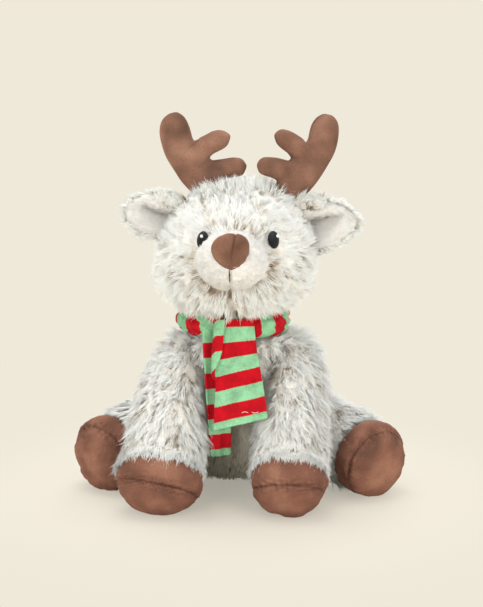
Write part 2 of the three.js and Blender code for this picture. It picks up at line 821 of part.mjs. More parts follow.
// The scarf's loop is a roll round the neck, resting on the shoulders.
const loopInner = neckRadius + scarfClearance;
const loopMiddleRadius = loopInner + scarfRoll / 2;
function scarfLoop(grow) {
  const rings = Array.from({ length: scarfAround }, (_, step) => {
    const around = (2 * Math.PI * step) / scarfAround;
    const out = vector(Math.cos(around), Math.sin(around), 0);
    const bunched = (scarfBunch / 2) * Math.max(0, -out.x) ** bunchSharpness;
    const middle = neckAxis
      .clone()
      .setZ(scarfBase + scarfHeight / 2)
      .addScaledVector(out, loopMiddleRadius + bunched);
    return Array.from({ length: scarfSides }, (_, side) => {
      const angle = (2 * Math.PI * (side + 0.5)) / scarfSides;
      const crease = scarfCrease * Math.max(0, Math.sin(angle)) ** creaseSharpness;
      return middle
        .clone()
        .addScaledVector(upward, (scarfHeight / 2 + grow) * Math.cos(angle))
        .addScaledVector(out, (scarfRoll / 2 + bunched + grow) * Math.sin(angle) - crease);
    });
  });
  return skinOfRings(rings, true);
}

// Where an end leaves the loop's outer face: a distance to the side, and a share of the loop's height.
const hangRadius = loopInner + scarfRoll + gap;
const hangAt = (aside, upShare) =>
  vector(aside, -torsoLean - Math.sqrt(hangRadius ** 2 - aside ** 2), scarfBase + scarfHeight * upShare);
const frontHang = hangAt(-frontEndAside, frontEndUpShare);
const backHang = hangAt(-backEndAside, backEndUpShare);

// A hanging end: a strip of the section along its line down from the hang, turned about the vertical.
function hangingEnd({ hang, drift, standoff, drop, shares, width, turnDegrees, sectionShares }, grow) {
  const wide = sideways.clone().applyAxisAngle(upward, turn(turnDegrees));
  const forward = torsoHalfDepth + standoff + hang.y;
  const line = shares.map(([aside, ahead, down]) =>
    hang.clone().add(vector(drift * aside, -forward * ahead, -drop * down)),
  );
  const rings = line.map((point, index) => {
    const before = line[Math.max(index - 1, 0)];
    const after = line[Math.min(index + 1, line.length - 1)];
    const along = after.clone().sub(before).normalize();
    const across = wide.clone().addScaledVector(along, -wide.dot(along)).normalize();
    const through = along.clone().cross(across);
    const half = (width * shares[index][3]) / 2 + grow;
    const deep = scarfThickness / 2 + grow;
    return sectionShares.map(([aside, ahead]) =>
      point.clone().addScaledVector(across, half * aside).addScaledVector(through, deep * ahead),
    );
  });
  return skinOfRings(rings);
}

const backEndForm = {
  hang: backHang,
  drift: backEndDrift,
  standoff: backEndStandoff,
  drop: backEndDrop,
  shares: backEndShares,
  width: backEndWidth,
  turnDegrees: backEndTurnDegrees,
  sectionShares: flatSectionShares,
};
const frontEndForm = {
  hang: frontHang,
  drift: frontEndDrift,
  standoff: frontEndStandoff,
  drop: frontEndDrop,
  shares: frontEndShares,
  width: scarfWidth,
  turnDegrees: 0,
  sectionShares: foldedSectionShares,
};
const backEnd = (grow) => hangingEnd(backEndForm, grow);
const frontEnd = (grow) => hangingEnd(frontEndForm, grow);

// Both ends lift about the loop's upper front. The front end lies over the back end, so it lifts with it.
function addScarf() {
  place("torso", "scarf_loop", scarfLoop(0).subtract(torso.solid(-gap)), "scarfVelour");
  const liftAxis = sideways.clone().negate();
  joint("scarf_back_lift", "torso", "scarf_back", frontHang, liftAxis, [0, backLiftDegrees]);
  joint("scarf_front_lift", "scarf_back", "scarf_front", frontHang, liftAxis, [0, frontLiftDegrees]);
  const behind = scarfLoop(gap).add(headGrown).add(torsoGrown);
  const over = frontEnd(0).subtract(behind).subtract(backEnd(gap));
  place("scarf_back", "scarf_end_back", backEnd(0).subtract(behind), "scarfVelour");
  place("scarf_front", "scarf_end_front", over, "scarfVelour");
}

// A limb is one form, cut into a furry leg, a velvety hoof and its sole, round one piece of stuffing.
function addLimb(end, side, limb) {
  const hand = sides[side];
  const seatOut = torsoHalfWidth * limb.seat.out;
  const seatForward = torsoHalfDepth * limb.seat.forward;
  const pivot = vector(hand * seatOut, -seatForward, shoulderHeight * limb.seat.up);
  const hoofUp = limb.radius * limb.shares.at(-1)[3] * limb.settleShare - seatCutDepth;
  const middle = vector(hand * (seatOut + limb.splay), -seatForward - limb.reach, hoofUp);
  const heading = vector(hand * limb.toe.out, -limb.toe.forward, -limb.toe.down).normalize();
  const span = middle.clone().sub(pivot);
  const points = limb.shares.map(([out, forward, down]) =>
    vector(pivot.x + span.x * out, pivot.y + span.y * forward, pivot.z + span.z * down),
  );
  const radii = limb.shares.map((row) => limb.radius * row[3]);
  for (const [reach, wide] of hoofTipShares) {
    points.push(middle.clone().addScaledVector(heading, limb.tip * reach));
    radii.push(limb.radius * wide);
  }
  const form = lineForm(
    points,
    radii,
    limbSides,
    null,
    radii.map((reach, index) =>
      reach * THREE.MathUtils.lerp(1, limb.breadthShare, Math.min(1, index / (limb.shares.length - 1))),
    ),
  );
  const name = `${end}_leg_${side}`;
  const swing = joint(`${name}_swing`, "torso", name, pivot, limb.axis(hand), [0, limb.degrees]);
  const filled = (inset) =>
    limb.beside.reduce(
      (rest, neighbour) => rest.subtract(neighbour(swingGap + inset)),
      clearOf(form.solid(inset), torso.solid(-swingGap - inset), swing).trimByPlane(floorNormal, inset),
    );

  const hemPlace = limb.hemShare * (limb.shares.length - 1);
  const low = Math.floor(hemPlace);
  const hemFacing = form.stations[low].along;
  const hemAt = hemFacing.dot(points[low].clone().lerp(points[low + 1], hemPlace - low));
  const soleFacing = heading.clone().applyAxisAngle(form.stations[low].across, turn(limb.soleTiltDegrees));
  const soleAt = soleFacing.dot(middle.clone().addScaledVector(heading, limb.tip - soleSet));
  const before = (solid, facing, at) => solid.trimByPlane(facing.clone().negate().toArray(), gap / 2 - at);
  const beyond = (solid, facing, at) => solid.trimByPlane(facing.toArray(), gap / 2 + at);

  const shell = filled(0).subtract(filled(coverWall));
  const foot = beyond(shell, hemFacing, hemAt);
  place(name, name, before(shell, hemFacing, hemAt), "longPile");
  place(name, `${end}_hoof_${side}`, before(foot, soleFacing, soleAt), "brownVelour");
  place(name, `${end}_sole_${side}`, beyond(foot, soleFacing, soleAt), "brownVelour");
  place(name, `${end}_leg_stuffing_${side}`, filled(coverWall + gap), "fibre");
  return form;
}

// The front legs swing up and outwards from the shoulders.
function addFrontLeg(side) {
  return addLimb("front", side, {
    seat: frontSeatShares,
    reach: frontLegReach,
    splay: frontLegSplay[side],
    breadthShare: frontBreadthShare[side],
    settleShare: frontSettleShare,
    radius: frontLegRadius,
    shares: frontLegShares,
    tip: frontHoofTip,
    toe: frontToeShares,
    soleTiltDegrees: frontSoleTiltDegrees,
    hemShare: frontHemShare,
    axis: (hand) => vector(-frontSwingShares.up, -hand * frontSwingShares.out, 0),
    degrees: frontSwingDegrees,
    beside: [frontEnd, backEnd],
  });
}

// The rear legs lie along the floor, against the front legs, and spread from the hips.
function addRearLeg(side, frontLeg) {
  addLimb("rear", side, {
    seat: rearSeatShares,
    reach: rearLegReach[side],
    splay: rearLegSplay[side],
    breadthShare: rearBreadthShare,
    settleShare: rearSettleShare,
    radius: rearLegRadius,
    shares: rearLegShares,
    tip: rearHoofTip,
    toe: rearToeShares,
    soleTiltDegrees: rearSoleTiltDegrees,
    hemShare: rearHemShare,
    axis: (hand) => vector(0, 0, hand),
    degrees: rearSwingDegrees,
    beside: [(grow) => frontLeg.solid(-grow)],
  });
}

function addTail() {
  const back = Math.PI / 2;
  const root = torso.atHeight(shoulderHeight * tailUpShare, back);
  const heading = vector(0, tailWayShares.back, tailWayShares.up).normalize();
  const start = root.clone().addScaledVector(heading, -tailRadius * tailSunkShare);
  const form = lineForm(
    tailShares.map(([along]) => start.clone().addScaledVector(heading, tailLength * along)),
    tailShares.map(([, wide]) => tailRadius * wide),
    tailSides,
    sideways,
  );
  const wag = joint("tail_wag", "torso", "tail", root, sideways, [-tailSwingDegrees, tailSwingDegrees]);
  place(wag.child, "tail", clearOf(form.solid(), torsoGrown, wag), "longPile");
}

addTorso();
addNeckAndHead();
addMuzzle();
addMouth();
for (const side of Object.keys(sides)) {
  addEye(side);
  addEar(side);
  addAntler(side);
  addRearLeg(side, addFrontLeg(side));
}
addTail();
addScarf();

// The origin is the middle of the rectangle of floor that the whole toy covers.
const middle = new THREE.Box3().setFromObject(deer).getCenter(vector(0, 0, 0));
deer.position.set(-middle.x, -middle.y, 0);

// What moves with what, for whoever poses the toy.
const placed = joints.map((made) => ({ ...made, pivot: made.pivot.clone().add(deer.position) }));
deer.userData = { joints: placed, bodies };

export default deer;
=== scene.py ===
# A seated plush deer in a striped scarf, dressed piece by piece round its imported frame. Metres, +Z up.
# The face looks along -Y, so the deer's own left is +X.
import json
import math

import bpy
import numpy as np
from mathutils import Matrix, Vector


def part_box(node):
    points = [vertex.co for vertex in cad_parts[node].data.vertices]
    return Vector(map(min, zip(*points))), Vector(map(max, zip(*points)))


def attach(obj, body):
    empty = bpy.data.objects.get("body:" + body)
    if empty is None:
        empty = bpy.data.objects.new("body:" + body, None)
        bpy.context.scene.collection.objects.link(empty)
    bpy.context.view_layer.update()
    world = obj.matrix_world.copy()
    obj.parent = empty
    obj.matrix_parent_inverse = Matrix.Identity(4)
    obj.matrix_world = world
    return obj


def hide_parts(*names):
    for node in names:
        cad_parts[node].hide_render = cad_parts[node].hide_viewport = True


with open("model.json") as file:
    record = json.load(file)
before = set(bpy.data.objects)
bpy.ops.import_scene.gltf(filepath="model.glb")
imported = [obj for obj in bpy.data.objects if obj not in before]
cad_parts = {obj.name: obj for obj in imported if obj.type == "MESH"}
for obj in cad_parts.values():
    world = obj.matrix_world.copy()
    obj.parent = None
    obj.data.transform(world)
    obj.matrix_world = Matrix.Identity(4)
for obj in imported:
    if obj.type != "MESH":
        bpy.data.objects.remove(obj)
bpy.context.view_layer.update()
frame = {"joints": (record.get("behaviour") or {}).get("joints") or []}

# Camera
# It stands about an arm's length and a half from the toy, a little above it and turned slightly to one side.
# The aim is a height on the line through the toy's seat, and the focal length is in pixels of the photograph.
joint_at = {joint["name"]: np.array(joint["pos_m"]) for joint in frame["joints"]}
body_lean = 0.024
seat = joint_at["head_turn"] * (1, 1, 0) + (0, body_lean, 0)
camera_distance = 1.15
camera_height = 0.35
camera_yaw = math.radians(2.5)
camera_aside = -0.0005
aim_height = 0.16
focal_pixels = 1287
picture_height = 607

camera = bpy.data.objects.new("camera", bpy.data.cameras.new("camera"))
camera.data.lens = camera.data.sensor_width * focal_pixels / picture_height
aim = Vector(seat) + Vector((camera_aside, 0, aim_height))
camera.location = aim + Vector((
    camera_distance * math.sin(camera_yaw), -camera_distance * math.cos(camera_yaw), camera_height - aim_height
))
camera.rotation_euler = (aim - camera.location).to_track_quat("-Z", "Y").to_euler()
bpy.context.scene.collection.objects.link(camera)
bpy.context.scene.camera = camera
bpy.context.scene.view_settings.view_transform = "Standard"

# Studio
# A pale floor that keeps the toy's shadow and fades into a backdrop of the same cream, under soft lamps.
backdrop_colour = "#EFE9DA"
floor_colour = "#DED8CA"
floor_radius = 6.0
floor_rings = 3
floor_sides = 64
fade_start, fade_end = 0.05, 0.3
shadow_share = 0.6
world_strength = 0.73
lamps = {
    "key": {"place": (-1.0, -1.7, 0.4), "size": 0.9, "power": 15.5},
    "fill": {"place": (1.4, -1.4, 0.25), "size": 1.4, "power": 24},
    "top": {"place": (-0.2, 0.2, 1.7), "size": 1.0, "power": 14.5},
    "back": {"place": (0.4, 1.9, 0.8), "size": 1.4, "power": 22},
}


def linear(colour):
    """A "#rrggbb" sRGB colour as linear RGBA: a channel c is ((c + 0.055) / 1.055) to the power 2.4, or, where
    it is dark, c / 12.92."""
    c = np.array([int(colour[i : i + 2], 16) for i in (1, 3, 5)]) / 255
    return (*np.where(c <= 0.04045, c / 12.92, ((c + 0.055) / 1.055) ** 2.4).tolist(), 1.0)


def add(tree, kind, links=None, **settings):
    """Adds a node. Settings are its own fields, and links gives inputs a value or another node's output."""
    node = tree.nodes.new("ShaderNode" + kind)
    for field, value in settings.items():
        setattr(node, field, value)
    for socket, source in (links or {}).items():
        if isinstance(source, bpy.types.NodeSocket):
            tree.links.new(source, node.inputs[socket])
        else:
            node.inputs[socket].default_value = source
    return node


def seen(tree):
    """1 on rays from the camera, off gloss and through glass, which see the backdrop, and 0 on all others."""
    rays = add(tree, "LightPath").outputs
    shown = add(tree, "Math", {0: rays["Is Camera Ray"], 1: rays["Is Glossy Ray"]}, operation="MAXIMUM")
    shown = add(tree, "Math", {0: shown.outputs[0], 1: rays["Is Transmission Ray"]}, operation="MAXIMUM")
    return shown.outputs[0]


def turns(count):
    """Angles spread evenly round a circle."""
    return np.linspace(0, 2 * np.pi, count, endpoint=False)


def mesh_of(name, points, *faces):
    """A smooth mesh from an array of points and arrays of faces, each array with its own count of corners."""
    mesh = bpy.data.meshes.new(name)
    corners = np.concatenate([face.ravel() for face in faces])
    sizes = np.concatenate([np.full(len(face), face.shape[1]) for face in faces])
    mesh.vertices.add(len(points))
    mesh.vertices.foreach_set("co", np.asarray(points, np.float32).ravel())
    mesh.loops.add(len(corners))
    mesh.polygons.add(len(sizes))
    mesh.polygons.foreach_set("loop_start", (np.cumsum(sizes) - sizes).astype(np.int32))
    mesh.loops.foreach_set("vertex_index", corners.astype(np.int32))
    mesh.polygons.foreach_set("use_smooth", np.ones(len(sizes), bool))
    mesh.update(calc_edges=True)
    return mesh


world = bpy.data.worlds.new("world")
bpy.context.scene.world = world
world.use_nodes = True
tree = world.node_tree
shown = seen(tree)
lighting = add(tree, "Background", {"Color": (1, 1, 1, 1), "Strength": world_strength})
backdrop = add(tree, "Background", {"Color": linear(backdrop_colour), "Strength": 1})
both = add(tree, "MixShader", {0: shown, 1: lighting.outputs[0], 2: backdrop.outputs[0]})
tree.links.new(both.outputs[0], tree.nodes["World Output"].inputs["Surface"])

turn = turns(floor_sides)
reach = floor_radius * np.linspace(0, 1, floor_rings + 1)[1:, None]
rim = np.stack([reach * np.cos(turn), reach * np.sin(turn), 0 * reach * turn], -1).reshape(-1, 3)
side = np.arange(floor_sides)
ring = np.arange(floor_rings - 1)[:, None] * floor_sides
after = (side + 1) % floor_sides
bands = np.stack([ring + side, ring + side + floor_sides, ring + after + floor_sides, ring + after], -1)
centre = np.stack([np.full(floor_sides, len(rim)), side, after], -1)
mesh = mesh_of("floor", np.vstack([rim, [[0, 0, 0]]]), bands.reshape(-1, 4), centre)
floor = bpy.data.objects.new("floor", mesh)
bpy.context.scene.collection.objects.link(floor)
paper = bpy.data.materials.new("backdrop_paper")
paper.use_nodes = True
tree = paper.node_tree
tree.nodes.remove(tree.nodes["Principled BSDF"])
shown = seen(tree)
place = add(tree, "TexCoord")
away = add(tree, "VectorMath", {0: place.outputs["Object"]}, operation="LENGTH")
fade = add(
    tree, "MapRange", {0: away.outputs["Value"], 1: fade_start, 2: fade_end, 3: 1 - shadow_share},
    interpolation_type="SMOOTHSTEP",
)
fade = add(tree, "Math", {0: fade.outputs[0], 1: shown}, operation="MULTIPLY")
lit = add(tree, "BsdfDiffuse", {"Color": linear(floor_colour)})
plain = add(tree, "Emission", {"Color": linear(backdrop_colour), "Strength": 1})
both = add(tree, "MixShader", {0: fade.outputs[0], 1: lit.outputs[0], 2: plain.outputs[0]})
tree.links.new(both.outputs[0], tree.nodes["Material Output"].inputs["Surface"])
floor.data.materials.append(paper)

for name, lamp in lamps.items():
    light = bpy.data.lights.new(name, "AREA")
    light.size = lamp["size"]
    light.energy = lamp["power"]
    holder = bpy.data.objects.new(name, light)
    holder.location = lamp["place"]
    holder.rotation_euler = (aim - holder.location).to_track_quat("-Z", "Y").to_euler()
    bpy.context.scene.collection.objects.link(holder)

# Body cover
# Two-tone plush fabric with a long pile, brown at its roots and white at its tips, sewn into a pear that leans
# forward. Its locks hang down and outwards, and a short panel of plainer plush covers the belly.
# Rows of shares of the height, the half width, the half depth and the lean. Tables by True and False give the
# front half's value and the back half's.
body_shares = np.array([
    [0.0, 0.0, 0.0, 0.0], [0.0, 0.54, 0.24, 0.0], [0.045, 0.75, 0.54, 0.0], [0.13, 0.92, 0.82, 0.02],
    [0.28, 1.0, 1.0, 0.1], [0.5, 0.97, 0.94, 0.28], [0.7, 0.87, 0.82, 0.58], [0.85, 0.8, 0.7, 0.84],
    [0.94, 0.73, 0.63, 0.96], [0.99, 0.6, 0.54, 1.0], [1.0, 0.0, 0.0, 1.0],
])
body_half_width = 0.084
body_half_depth = 0.066
pile_depth = 0.005
ground_depth = 0.0036
pile_length = 0.0132
pile_width = 0.0006
pile_widths = {True: pile_width, False: 0.00078}
body_locks = {True: 1500, False: 1000}
lock_radius, lock_gather = 0.0026, 0.6
parting_brown = "#7A5838"
weave_grain, fine_grain = 0.0012, 0.0008
seat_clearance = 0.001
lump_size = 0.03
tuft_size = 0.022
collar_height, collar_reach = 0.118, 0.02
neck_hole, neck_hole_height = 0.036, 0.12
panel_half_width, panel_height, panel_lap = 0.036, 0.086, 0.002
least_root_height = 0.006
floor_clearance = 0.0004
skin_step = 2e-3
across_way, back_way, up_way = np.eye(3)


def corners(node):
    """The lowest and highest corner of a CAD node at rest."""
    low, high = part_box(node)
    return np.array(low), np.array(high)


def unit(vectors):
    """Each vector divided by its length."""
    return vectors / np.maximum(np.linalg.norm(vectors, axis=-1, keepdims=True), 1e-12)


def bell(distance, width):
    """1 at no distance, falling away on both sides: e to the power of minus the square of distance / width."""
    return np.exp(-((distance / width) ** 2))


def climb(value, start, reach):
    """0 up to the start, then evenly up to 1 over the reach. A reach below 0 climbs as the value falls."""
    return np.clip((value - start) / reach, 0, 1)


def between(rows, place):
    """Rows read at fractional places: a Catmull-Rom cubic through the two rows on each side."""
    low = np.clip(np.floor(place).astype(int), 0, len(rows) - 2)
    t = (place - low)[..., None]
    a, b, c, d = (rows[np.clip(low + k, 0, len(rows) - 1)] for k in (-1, 0, 1, 2))
    return b + 0.5 * t * (c - a + t * (2 * a - 5 * b + 4 * c - d + t * (3 * b - a - 3 * c + d)))


def ring_form(middle, across, through, half_across, half_through):
    """Oval rings, one row to each: its middle, its ways across and through, and its half widths along them."""
    across, through = (np.broadcast_to(way, middle.shape) for way in (across, through))
    return np.hstack([middle, across, through, half_across[:, None], half_through[:, None]])


def level_form(shares, base, height, half_width, half_depth, centre, lean):
    """Oval rings one above the other, by rows of shares of the height, half width, half depth and lean."""
    up, wide, deep, ahead = shares.T
    middle = np.stack([centre[0] + 0 * up, centre[1] - lean * ahead, base + height * up], 1)
    return ring_form(middle, across_way, back_way, half_width * wide, half_depth * deep)


def skin(form, angle, along):
    """A form's skin: the middle, plus the way across by the half width and the angle's cosine, plus the way
    through by the half depth and the sine. Along runs from 0 at the first ring to 1 at the last."""
    angle, along = np.broadcast_arrays(angle, along)
    row = between(form, along * (len(form) - 1))
    wide, deep = np.maximum(row[..., 9:10], 0), np.maximum(row[..., 10:11], 0)
    cosine, sine = np.cos(angle)[..., None], np.sin(angle)[..., None]
    return row[..., :3] + row[..., 3:6] * wide * cosine + row[..., 6:9] * deep * sine


def patch(form, angle, along):
    """A step round the ring crossed with a step along the form: it points outwards, and its length is the area
    of skin that the two steps cover."""
    around = skin(form, angle + skin_step, along) - skin(form, angle - skin_step, along)
    onward = skin(form, angle, along + skin_step) - skin(form, angle, along - skin_step)
    return np.cross(around, onward)


def facing(form, angle, along):
    """The skin's outward normal."""
    return unit(patch(form, angle, np.clip(along, 2 * skin_step, 1 - 2 * skin_step)))


def ripple(points, size, seed, waves=7):
    """Soft lumps of about a size, from -1 to 1: the mean of sine waves that run in random ways."""
    rng = np.random.default_rng(seed)
    ways = unit(rng.normal(size=(waves, 3))) * rng.uniform(0.6, 1.5, (waves, 1)) * 2 * np.pi / size
    return np.sin(points @ ways.T + rng.uniform(0, 2 * np.pi, waves)).sum(-1) / waves**0.5


def grid_faces(rows, columns):
    """Four-cornered faces over a grid whose columns close on themselves."""
    row, column = np.mgrid[: rows - 1, :columns]
    after = (column + 1) % columns
    here, onward = row * columns, (row + 1) * columns
    return np.stack([here + column, here + after, onward + after, onward + column], -1).reshape(-1, 4)


def closed_skin(name, points):
    """A closed mesh from rings of points, each end drawn together at its middle point."""
    rows, columns = points.shape[:2]
    ends = [points[0].mean(0), points[-1].mean(0)]
    side = np.arange(columns)
    after = (side + 1) % columns
    count = rows * columns
    first = np.stack([np.full(columns, count), after, side], -1)
    last = np.stack([np.full(columns, count + 1), count - columns + side, count - columns + after], -1)
    return mesh_of(name, np.vstack([points.reshape(-1, 3), ends]), grid_faces(rows, columns), first, last)


def mark(mesh, amount, name="parting"):
    """Gives the mesh's first points their share of a parting, or of painted shade in a crease, from 0 to 1, and
    its ends none.
    """
    values = np.zeros(len(mesh.vertices), np.float32)
    values[: amount.size] = np.clip(amount, 0, 1).ravel()
    mesh.attributes.new(name, "FLOAT", "POINT").data.foreach_set("value", values)
    return mesh


def piece(mesh, material, body, slot, *nodes):
    """Shows a mesh as a piece of that body, with its material, in place of the CAD nodes named. Its slot is not
    used.
    """
    made = bpy.data.objects.new(mesh.name, mesh)
    bpy.context.scene.collection.objects.link(made)
    mesh.materials.append(material)
    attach(made, body)
    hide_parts(*nodes)
    return made


def stuffed(fill, *piece_of):
    """A piece, shown by piece(). Its fill is not used."""
    piece(*piece_of)


def cloth_material(name, roughness, sheen, sheen_tint="#FFFFFF"):
    """A fabric's material: its node tree and Principled shader, with a soft sheen from the fibres' ends."""
    material = bpy.data.materials.new(name)
    material.use_nodes = True
    shader = material.node_tree.nodes["Principled BSDF"]
    shader.inputs["Roughness"].default_value = roughness
    shader.inputs["Specular IOR Level"].default_value = 0.15
    shader.inputs["Sheen Weight"].default_value = sheen
    shader.inputs["Sheen Roughness"].default_value = 0.5
    shader.inputs["Sheen Tint"].default_value = linear(sheen_tint)
    return material, material.node_tree, shader


def set_stops(ramp, stops):
    """Gives a colour ramp its stops, each with its value and its colour."""
    elements = ramp.color_ramp.elements
    while len(elements) < len(stops):
        elements.new(0.5)
    for element, (at, colour) in zip(elements, stops):
        element.position, element.color = at, linear(colour)


def surface_of(tree, shader, colour, grain, height, strength):
    """Gives the shader its colour, and raises the surface by the grain, to a height."""
    bump = add(tree, "Bump", {"Height": grain, "Distance": height, "Strength": strength})
    tree.links.new(colour, shader.inputs["Base Color"])
    tree.links.new(bump.outputs[0], shader.inputs["Normal"])


def pile_material(name, stops, parted):
    """Strands of polyester pile, dyed along their length. The strand's own map holds the way from root to tip
    in v, and in u how much it shows at a parting: from the stops' colours at 0 to the parted ones at 1."""
    material, tree, shader = cloth_material(name, 0.75, 0.12)
    strand = add(tree, "UVMap", uv_map="OFBake")
    way = add(tree, "SeparateXYZ", {0: strand.outputs[0]})
    links = {0: way.outputs["X"]}
    for socket, colours in ((6, stops), (7, parted)):
        dyed = add(tree, "ValToRGB", {0: way.outputs["Y"]})
        set_stops(dyed, colours)
        links[socket] = dyed.outputs[0]
    colour = add(tree, "Mix", links, data_type="RGBA")
    tree.links.new(colour.outputs[2], shader.inputs["Base Color"])
    return material


def backing_material(name, dark, light, grain):
    """A woven, felted or twisted ground: patches of two shades, six grains wide, with a bump by the grain, and
    brown where the mesh's own "parting" attribute is high."""
    material, tree, shader = cloth_material(name, 0.95, 0.0)
    place = add(tree, "TexCoord")
    patches = add(tree, "TexNoise", {"Vector": place.outputs["Object"], "Scale": 1 / (6 * grain), "Detail": 3})
    colour = add(tree, "Mix", {0: patches.outputs[0], 6: linear(dark), 7: linear(light)}, data_type="RGBA")
    parting = add(tree, "Attribute", attribute_name="parting")
    links = {0: parting.outputs["Fac"], 6: colour.outputs[2], 7: linear(parting_brown)}
    colour = add(tree, "Mix", links, data_type="RGBA")
    fine = add(tree, "TexNoise", {"Vector": place.outputs["Object"], "Scale": 1 / grain, "Detail": 2})
    surface_of(tree, shader, colour.outputs[2], fine.outputs[0], grain, 0.6)
    return material


def scatter(form, count, rng, keep):
    """Places spread evenly over a form's skin by area: random angles and ways along, kept in proportion to how
    much skin a step of each covers. Keep says which places grow pile."""
    found = np.zeros((0, 2))
    while len(found) < count:
        angle, along = rng.uniform(0, 2 * np.pi, 4 * count), rng.uniform(0.004, 0.996, 4 * count)
        area = np.linalg.norm(patch(form, angle, along), axis=-1)
        kept = rng.random(4 * count) < area / np.quantile(area, 0.995)
        kept &= keep(skin(form, angle, along), angle, along)
        found = np.vstack([found, np.stack([angle, along], 1)[kept]])
    return found[:count].T


def half_of(grows, front):
    """Keeps the front half of where pile grows, where the angle's sine is below 0, or else the back half."""
    return lambda points, angle, along: grows(points, angle, along) & ((np.sin(angle) < 0) == front)


def pile(name, roots, normals, comb, rng, length, radius, per_lock=16, lean=(0.65, 1.4), gather=0.45,
         width=pile_width, wander=0.1, keep_out=None, parted=0.0, softness=0.85, swing=0.22):
    """Locks of pile as closed three-sided strands. A lock's line starts at the lean's first angle from the
    normal and bends to its last, towards the comb; its strands start in a disc round it and draw together as
    they rise. Keep_out moves points that may not lie where they are, such as below the floor. Parted, by lock,
    times a random share, says how much its roots show. Softness turns the strands' shading from their own round
    towards the skin they grow on."""
    knots = np.array([0.0, 0.5, 1.0])
    thickness = np.array([1.0, 0.85])
    count = len(roots)
    comb = unit(comb - normals * (comb * normals).sum(-1, keepdims=True))
    length = np.broadcast_to(length, count) * rng.normal(1, 0.12, count)
    swing = rng.normal(0, swing, count)[:, None]
    side = np.cross(normals, comb)
    comb = comb * np.cos(swing) + side * np.sin(swing)
    side = np.cross(normals, comb)
    middle = (knots[1:] + knots[:-1]) / 2
    first, last = (np.broadcast_to(angle, count)[:, None] for angle in lean)
    tilt = first + (last - first) * middle + rng.normal(0, 0.12, count)[:, None]
    step = (np.diff(knots) * length[:, None])[..., None]
    ahead = normals[:, None] * np.cos(tilt)[..., None] + comb[:, None] * np.sin(tilt)[..., None]
    line = np.concatenate([np.zeros((count, 1, 3)), np.cumsum(ahead * step, 1)], 1)
    spread = radius * np.sqrt(rng.random((count, per_lock)))
    turn = rng.uniform(0, 2 * np.pi, (count, per_lock))
    offset = comb[:, None] * np.cos(turn)[..., None] + side[:, None] * np.sin(turn)[..., None]
    offset = offset * spread[..., None]
    drawn = 1 - np.broadcast_to(gather, count)[:, None] * knots**1.3
    stretch = rng.normal(1, 0.14, (count, per_lock, 1, 1))
    stray = rng.normal(0, wander, (count, per_lock, 1, 3)) * (knots**1.5)[:, None]
    points = roots[:, None, None] + line[:, None] * stretch + offset[:, :, None] * drawn[:, None, :, None]
    points = points + stray * length[:, None, None, None]
    if keep_out is not None:
        points = keep_out(points)
    total = count * per_lock
    points = points.reshape(total, 3, 3)
    side = np.repeat(side, per_lock, 0)
    way = unit(np.diff(points, axis=1))
    over = unit(np.cross(way, side[:, None]))
    beside = np.cross(over, way)
    turn = np.arange(3) * 2 * np.pi / 3
    around = beside[:, :, None] * np.cos(turn)[:, None] + over[:, :, None] * np.sin(turn)[:, None]
    rings = points[:, :2, None] + around * (width / 2 * thickness)[:, None, None]
    strand = np.concatenate([rings.reshape(total, 6, 3), points[:, 2:]], 1)
    corner = np.arange(3)
    after = (corner + 1) % 3
    sides = np.stack([corner, after, 3 + after, 3 + corner], 1)
    tips = np.vstack([np.stack([3 + corner, 3 + after, np.full(3, 6)], 1), [[2, 1, 0]]])
    start = (np.arange(total) * 7)[:, None, None]
    mesh = mesh_of(name, strand.reshape(-1, 3), (start + sides).reshape(-1, 4), (start + tips).reshape(-1, 3))
    shown = np.clip(0.5 * rng.random(count) ** 4 + parted * rng.uniform(0, 1.7, count), 0, 1)
    shown = np.repeat(shown, per_lock) * rng.uniform(0.7, 1.0, total)
    map_at = np.stack([np.repeat(shown, 7), np.tile([0, 0, 0, 0.5, 0.5, 0.5, 1.0], total)], 1)
    corners_used = np.zeros(len(mesh.loops), np.int32)
    mesh.loops.foreach_get("vertex_index", corners_used)
    mesh.uv_layers.new(name="OFBake").data.foreach_set("uv", map_at[corners_used].astype(np.float32).ravel())
    own = np.concatenate([around.reshape(total, 6, 3), way[:, 1:]], 1)
    skin_way = np.repeat(normals, per_lock, 0)[:, None]
    softness = np.repeat(np.broadcast_to(softness, count), per_lock)[:, None, None]
    shading = unit(own * (1 - softness) + skin_way * softness)
    mesh.normals_split_custom_set_from_vertices(shading.reshape(-1, 3))
    return mesh


def above_floor(points, height=floor_clearance):
    """Points below a height are lifted to it."""
    points = points.copy()
    points[..., 2] = np.maximum(points[..., 2], height)
    return points


body_height = corners("body_cover")[1][2]
panel_top = corners("belly_panel")[1][2]
body_form = level_form(body_shares, 0, body_height, body_half_width, body_half_depth, seat, body_lean)
long_pile = pile_material(
    "long_pile_polyester",
    [(0.0, "#E0D6C4"), (0.12, "#F2EEE4"), (0.25, "#FBFBF5"), (1.0, "#FCFFFA")],
    [(0.0, "#3E2612"), (0.34, "#6A4828"), (0.5, "#B4946C"), (0.64, "#F1EBDD"), (1.0, "#FCFFFA")],
)
long_pile_backing = backing_material("long_pile_backing", "#E9E2D4", "#FAF9F1", weave_grain)


def skin_grid(form, rows, columns, depth=0.0, start=0.0, end=1.0):
    """Rings of points over a form's skin from start to end, moved inwards along the normals by a depth."""
    along, angle = np.linspace(start, end, rows)[:, None], turns(columns)
    return skin(form, angle, along) - facing(form, angle, along) * depth


def lumpy(points, height, seed, size=lump_size):
    """Points moved straight out from their own middle by a ripple of that size and height."""
    out = unit(points - points.reshape(-1, 3).mean(0))
    return points + out * (height * ripple(points, size, seed))[..., None]


def level_at(form, height, *columns):
    """A level form's columns, read at a height."""
    return [np.interp(height, form[:, 2], form[:, column]) for column in columns]


